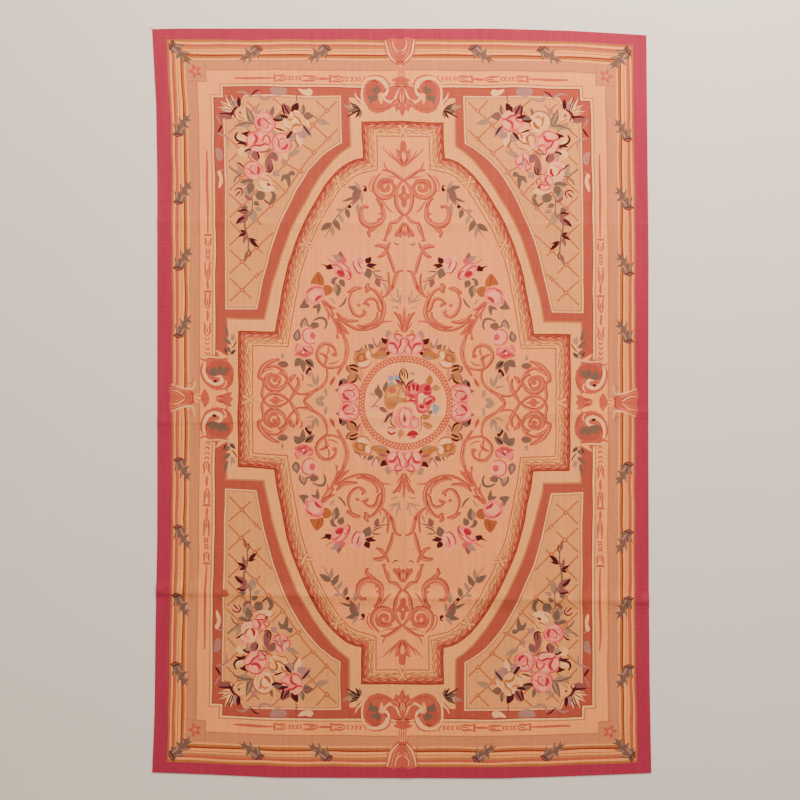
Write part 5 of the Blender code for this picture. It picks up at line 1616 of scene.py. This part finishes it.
def loose_warp_ends(cloth):
    """All the loose warp ends as one mesh: each tuft starts at the outermost point of the hem there."""
    hem = np.empty(len(cloth.data.vertices) * 3, np.float32)
    cloth.data.vertices.foreach_get("co", hem)
    hem = hem.reshape(-1, 3)
    draw = np.random.default_rng(SEED + 3)
    points, faces = [], []
    quads = np.arange(END_STEPS * END_SIDES).reshape(END_STEPS, END_SIDES)
    after = np.roll(quads, -1, axis=1)
    tube = np.stack((quads, quads + END_SIDES, after + END_SIDES, after), axis=-1).reshape(-1, 4)
    for side, along, count, length, turn in WARP_ENDS:
        near = hem[np.abs(hem[:, 1] - along * CM) < HEM_NEAR]
        start = near[np.argmax(side * near[:, 0])] * (1, 0, 1) + (0, along * CM, 0)
        for _ in range(count):
            offset = (0, draw.uniform(-END_SPREAD, END_SPREAD) * CM, 0)
            own_length = length * CM * draw.uniform(END_SHORTEST, 1)
            own_turn = turn + draw.uniform(-END_TURN, END_TURN)
            own_curl = draw.uniform(-END_CURL, END_CURL)
            strand = warp_strand(start + offset, side, own_length, own_turn, own_curl)
            base = len(points) * len(strand)
            last = base + END_STEPS * END_SIDES
            faces.extend((tube + base).tolist())
            faces.append(list(range(base, base + END_SIDES)))
            faces.append(list(range(last, last + END_SIDES))[::-1])
            points.append(strand)
    mesh = bpy.data.meshes.new("loose_warp_ends")
    mesh.from_pydata(np.vstack(points).tolist(), [], faces)
    mesh.shade_smooth()
    ends = bpy.data.objects.new("loose_warp_ends", mesh)
    bpy.context.scene.collection.objects.link(ends)
    return ends


# The pitch of the cotton's ply in metres, and the darkest and palest factors of the painted shade along its
# twist.
PLY_PITCH = 0.0009
PLY_PAINTED_SHADES = (0.8, 1.0)
COTTON_COLOUR = "e3d8c4"


def cotton_material():
    """Undyed twisted cotton warp: a matt off-white, with painted shade in fine slanting bands along the
    grooves of its ply.
    """
    material = bpy.data.materials.new("cotton_warp")
    material.use_nodes = True
    tree = material.node_tree
    shader = tree.nodes["Principled BSDF"]
    place = add_node(tree, "ShaderNodeTexCoord").outputs["Object"]
    # Painted shade in the twist's grooves, as fine slanting bands.
    ply = wave_bands(tree, place, PLY_PITCH, 0.4, direction="DIAGONAL")
    colour = shaded(tree, linear_colour(COTTON_COLOUR)[:3], shade_range(tree, ply, *PLY_PAINTED_SHADES))
    tree.links.new(colour, shader.inputs["Base Color"])
    shader.inputs["Roughness"].default_value = 0.9
    return material


rug = woven_sheet()
rug.data.materials.append(wool_material())
warp_ends = loose_warp_ends(rug)
warp_ends.data.materials.append(cotton_material())
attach(warp_ends, "root")
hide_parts("woven_rug")
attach(rug, "root")


# The room: a plain pale floor, soft light and the camera above.

CAMERA_PLACE = (-0.0064, 0.0128, 4.066)
CAMERA_LENS = 50
CAMERA_SENSOR = 36
ROOM_COLOUR = "fff0e0"
ROOM_STRENGTH = 0.8
KEY_COLOUR = "ffedd8"
KEY_WATTS = 560
KEY_SIZE = (3.0, 2.0)
KEY_PLACE = (1.3, 4.0, 2.8)
FLOOR_SIZE = 12
FLOOR_COLOUR = "d9d4ce"
FLOOR_CLOUDS = (3.0, 3.0, 3.0)
FLOOR_SHADES = (0.97, 1.03)


def floor_material():
    """Matt pale screed, with soft clouds a shade lighter or darker as its only marks."""
    material = bpy.data.materials.new("pale_screed")
    material.use_nodes = True
    tree = material.node_tree
    shader = tree.nodes["Principled BSDF"]
    place = add_node(tree, "ShaderNodeTexCoord").outputs["Object"]
    shade = shade_range(tree, stretched_noise(tree, place, FLOOR_CLOUDS, 4.0), *FLOOR_SHADES)
    colour = shaded(tree, linear_colour(FLOOR_COLOUR)[:3], shade)
    tree.links.new(colour, shader.inputs["Base Color"])
    shader.inputs["Roughness"].default_value = 0.85
    return material


bpy.ops.mesh.primitive_plane_add(size=FLOOR_SIZE)
floor = bpy.context.object
floor.name = "pale_floor"
floor.data.materials.append(floor_material())

world = bpy.data.worlds.new("soft_room")
world.use_nodes = True
world.node_tree.nodes["Background"].inputs["Color"].default_value = linear_colour(ROOM_COLOUR)
world.node_tree.nodes["Background"].inputs["Strength"].default_value = ROOM_STRENGTH
bpy.context.scene.world = world

key = bpy.data.lights.new("key", "AREA")
key.shape = "RECTANGLE"
key.size, key.size_y = KEY_SIZE
key.energy = KEY_WATTS
key.color = linear_colour(KEY_COLOUR)[:3]
key_object = bpy.data.objects.new("key", key)
key_object.location = KEY_PLACE
key_object.rotation_euler = (-Vector(KEY_PLACE)).to_track_quat("-Z", "Y").to_euler()
bpy.context.scene.collection.objects.link(key_object)

camera_data = bpy.data.cameras.new("camera")
camera_data.lens = CAMERA_LENS
camera_data.sensor_width = CAMERA_SENSOR
camera = bpy.data.objects.new("camera", camera_data)
camera.location = CAMERA_PLACE
bpy.context.scene.collection.objects.link(camera)
bpy.context.scene.camera = camera
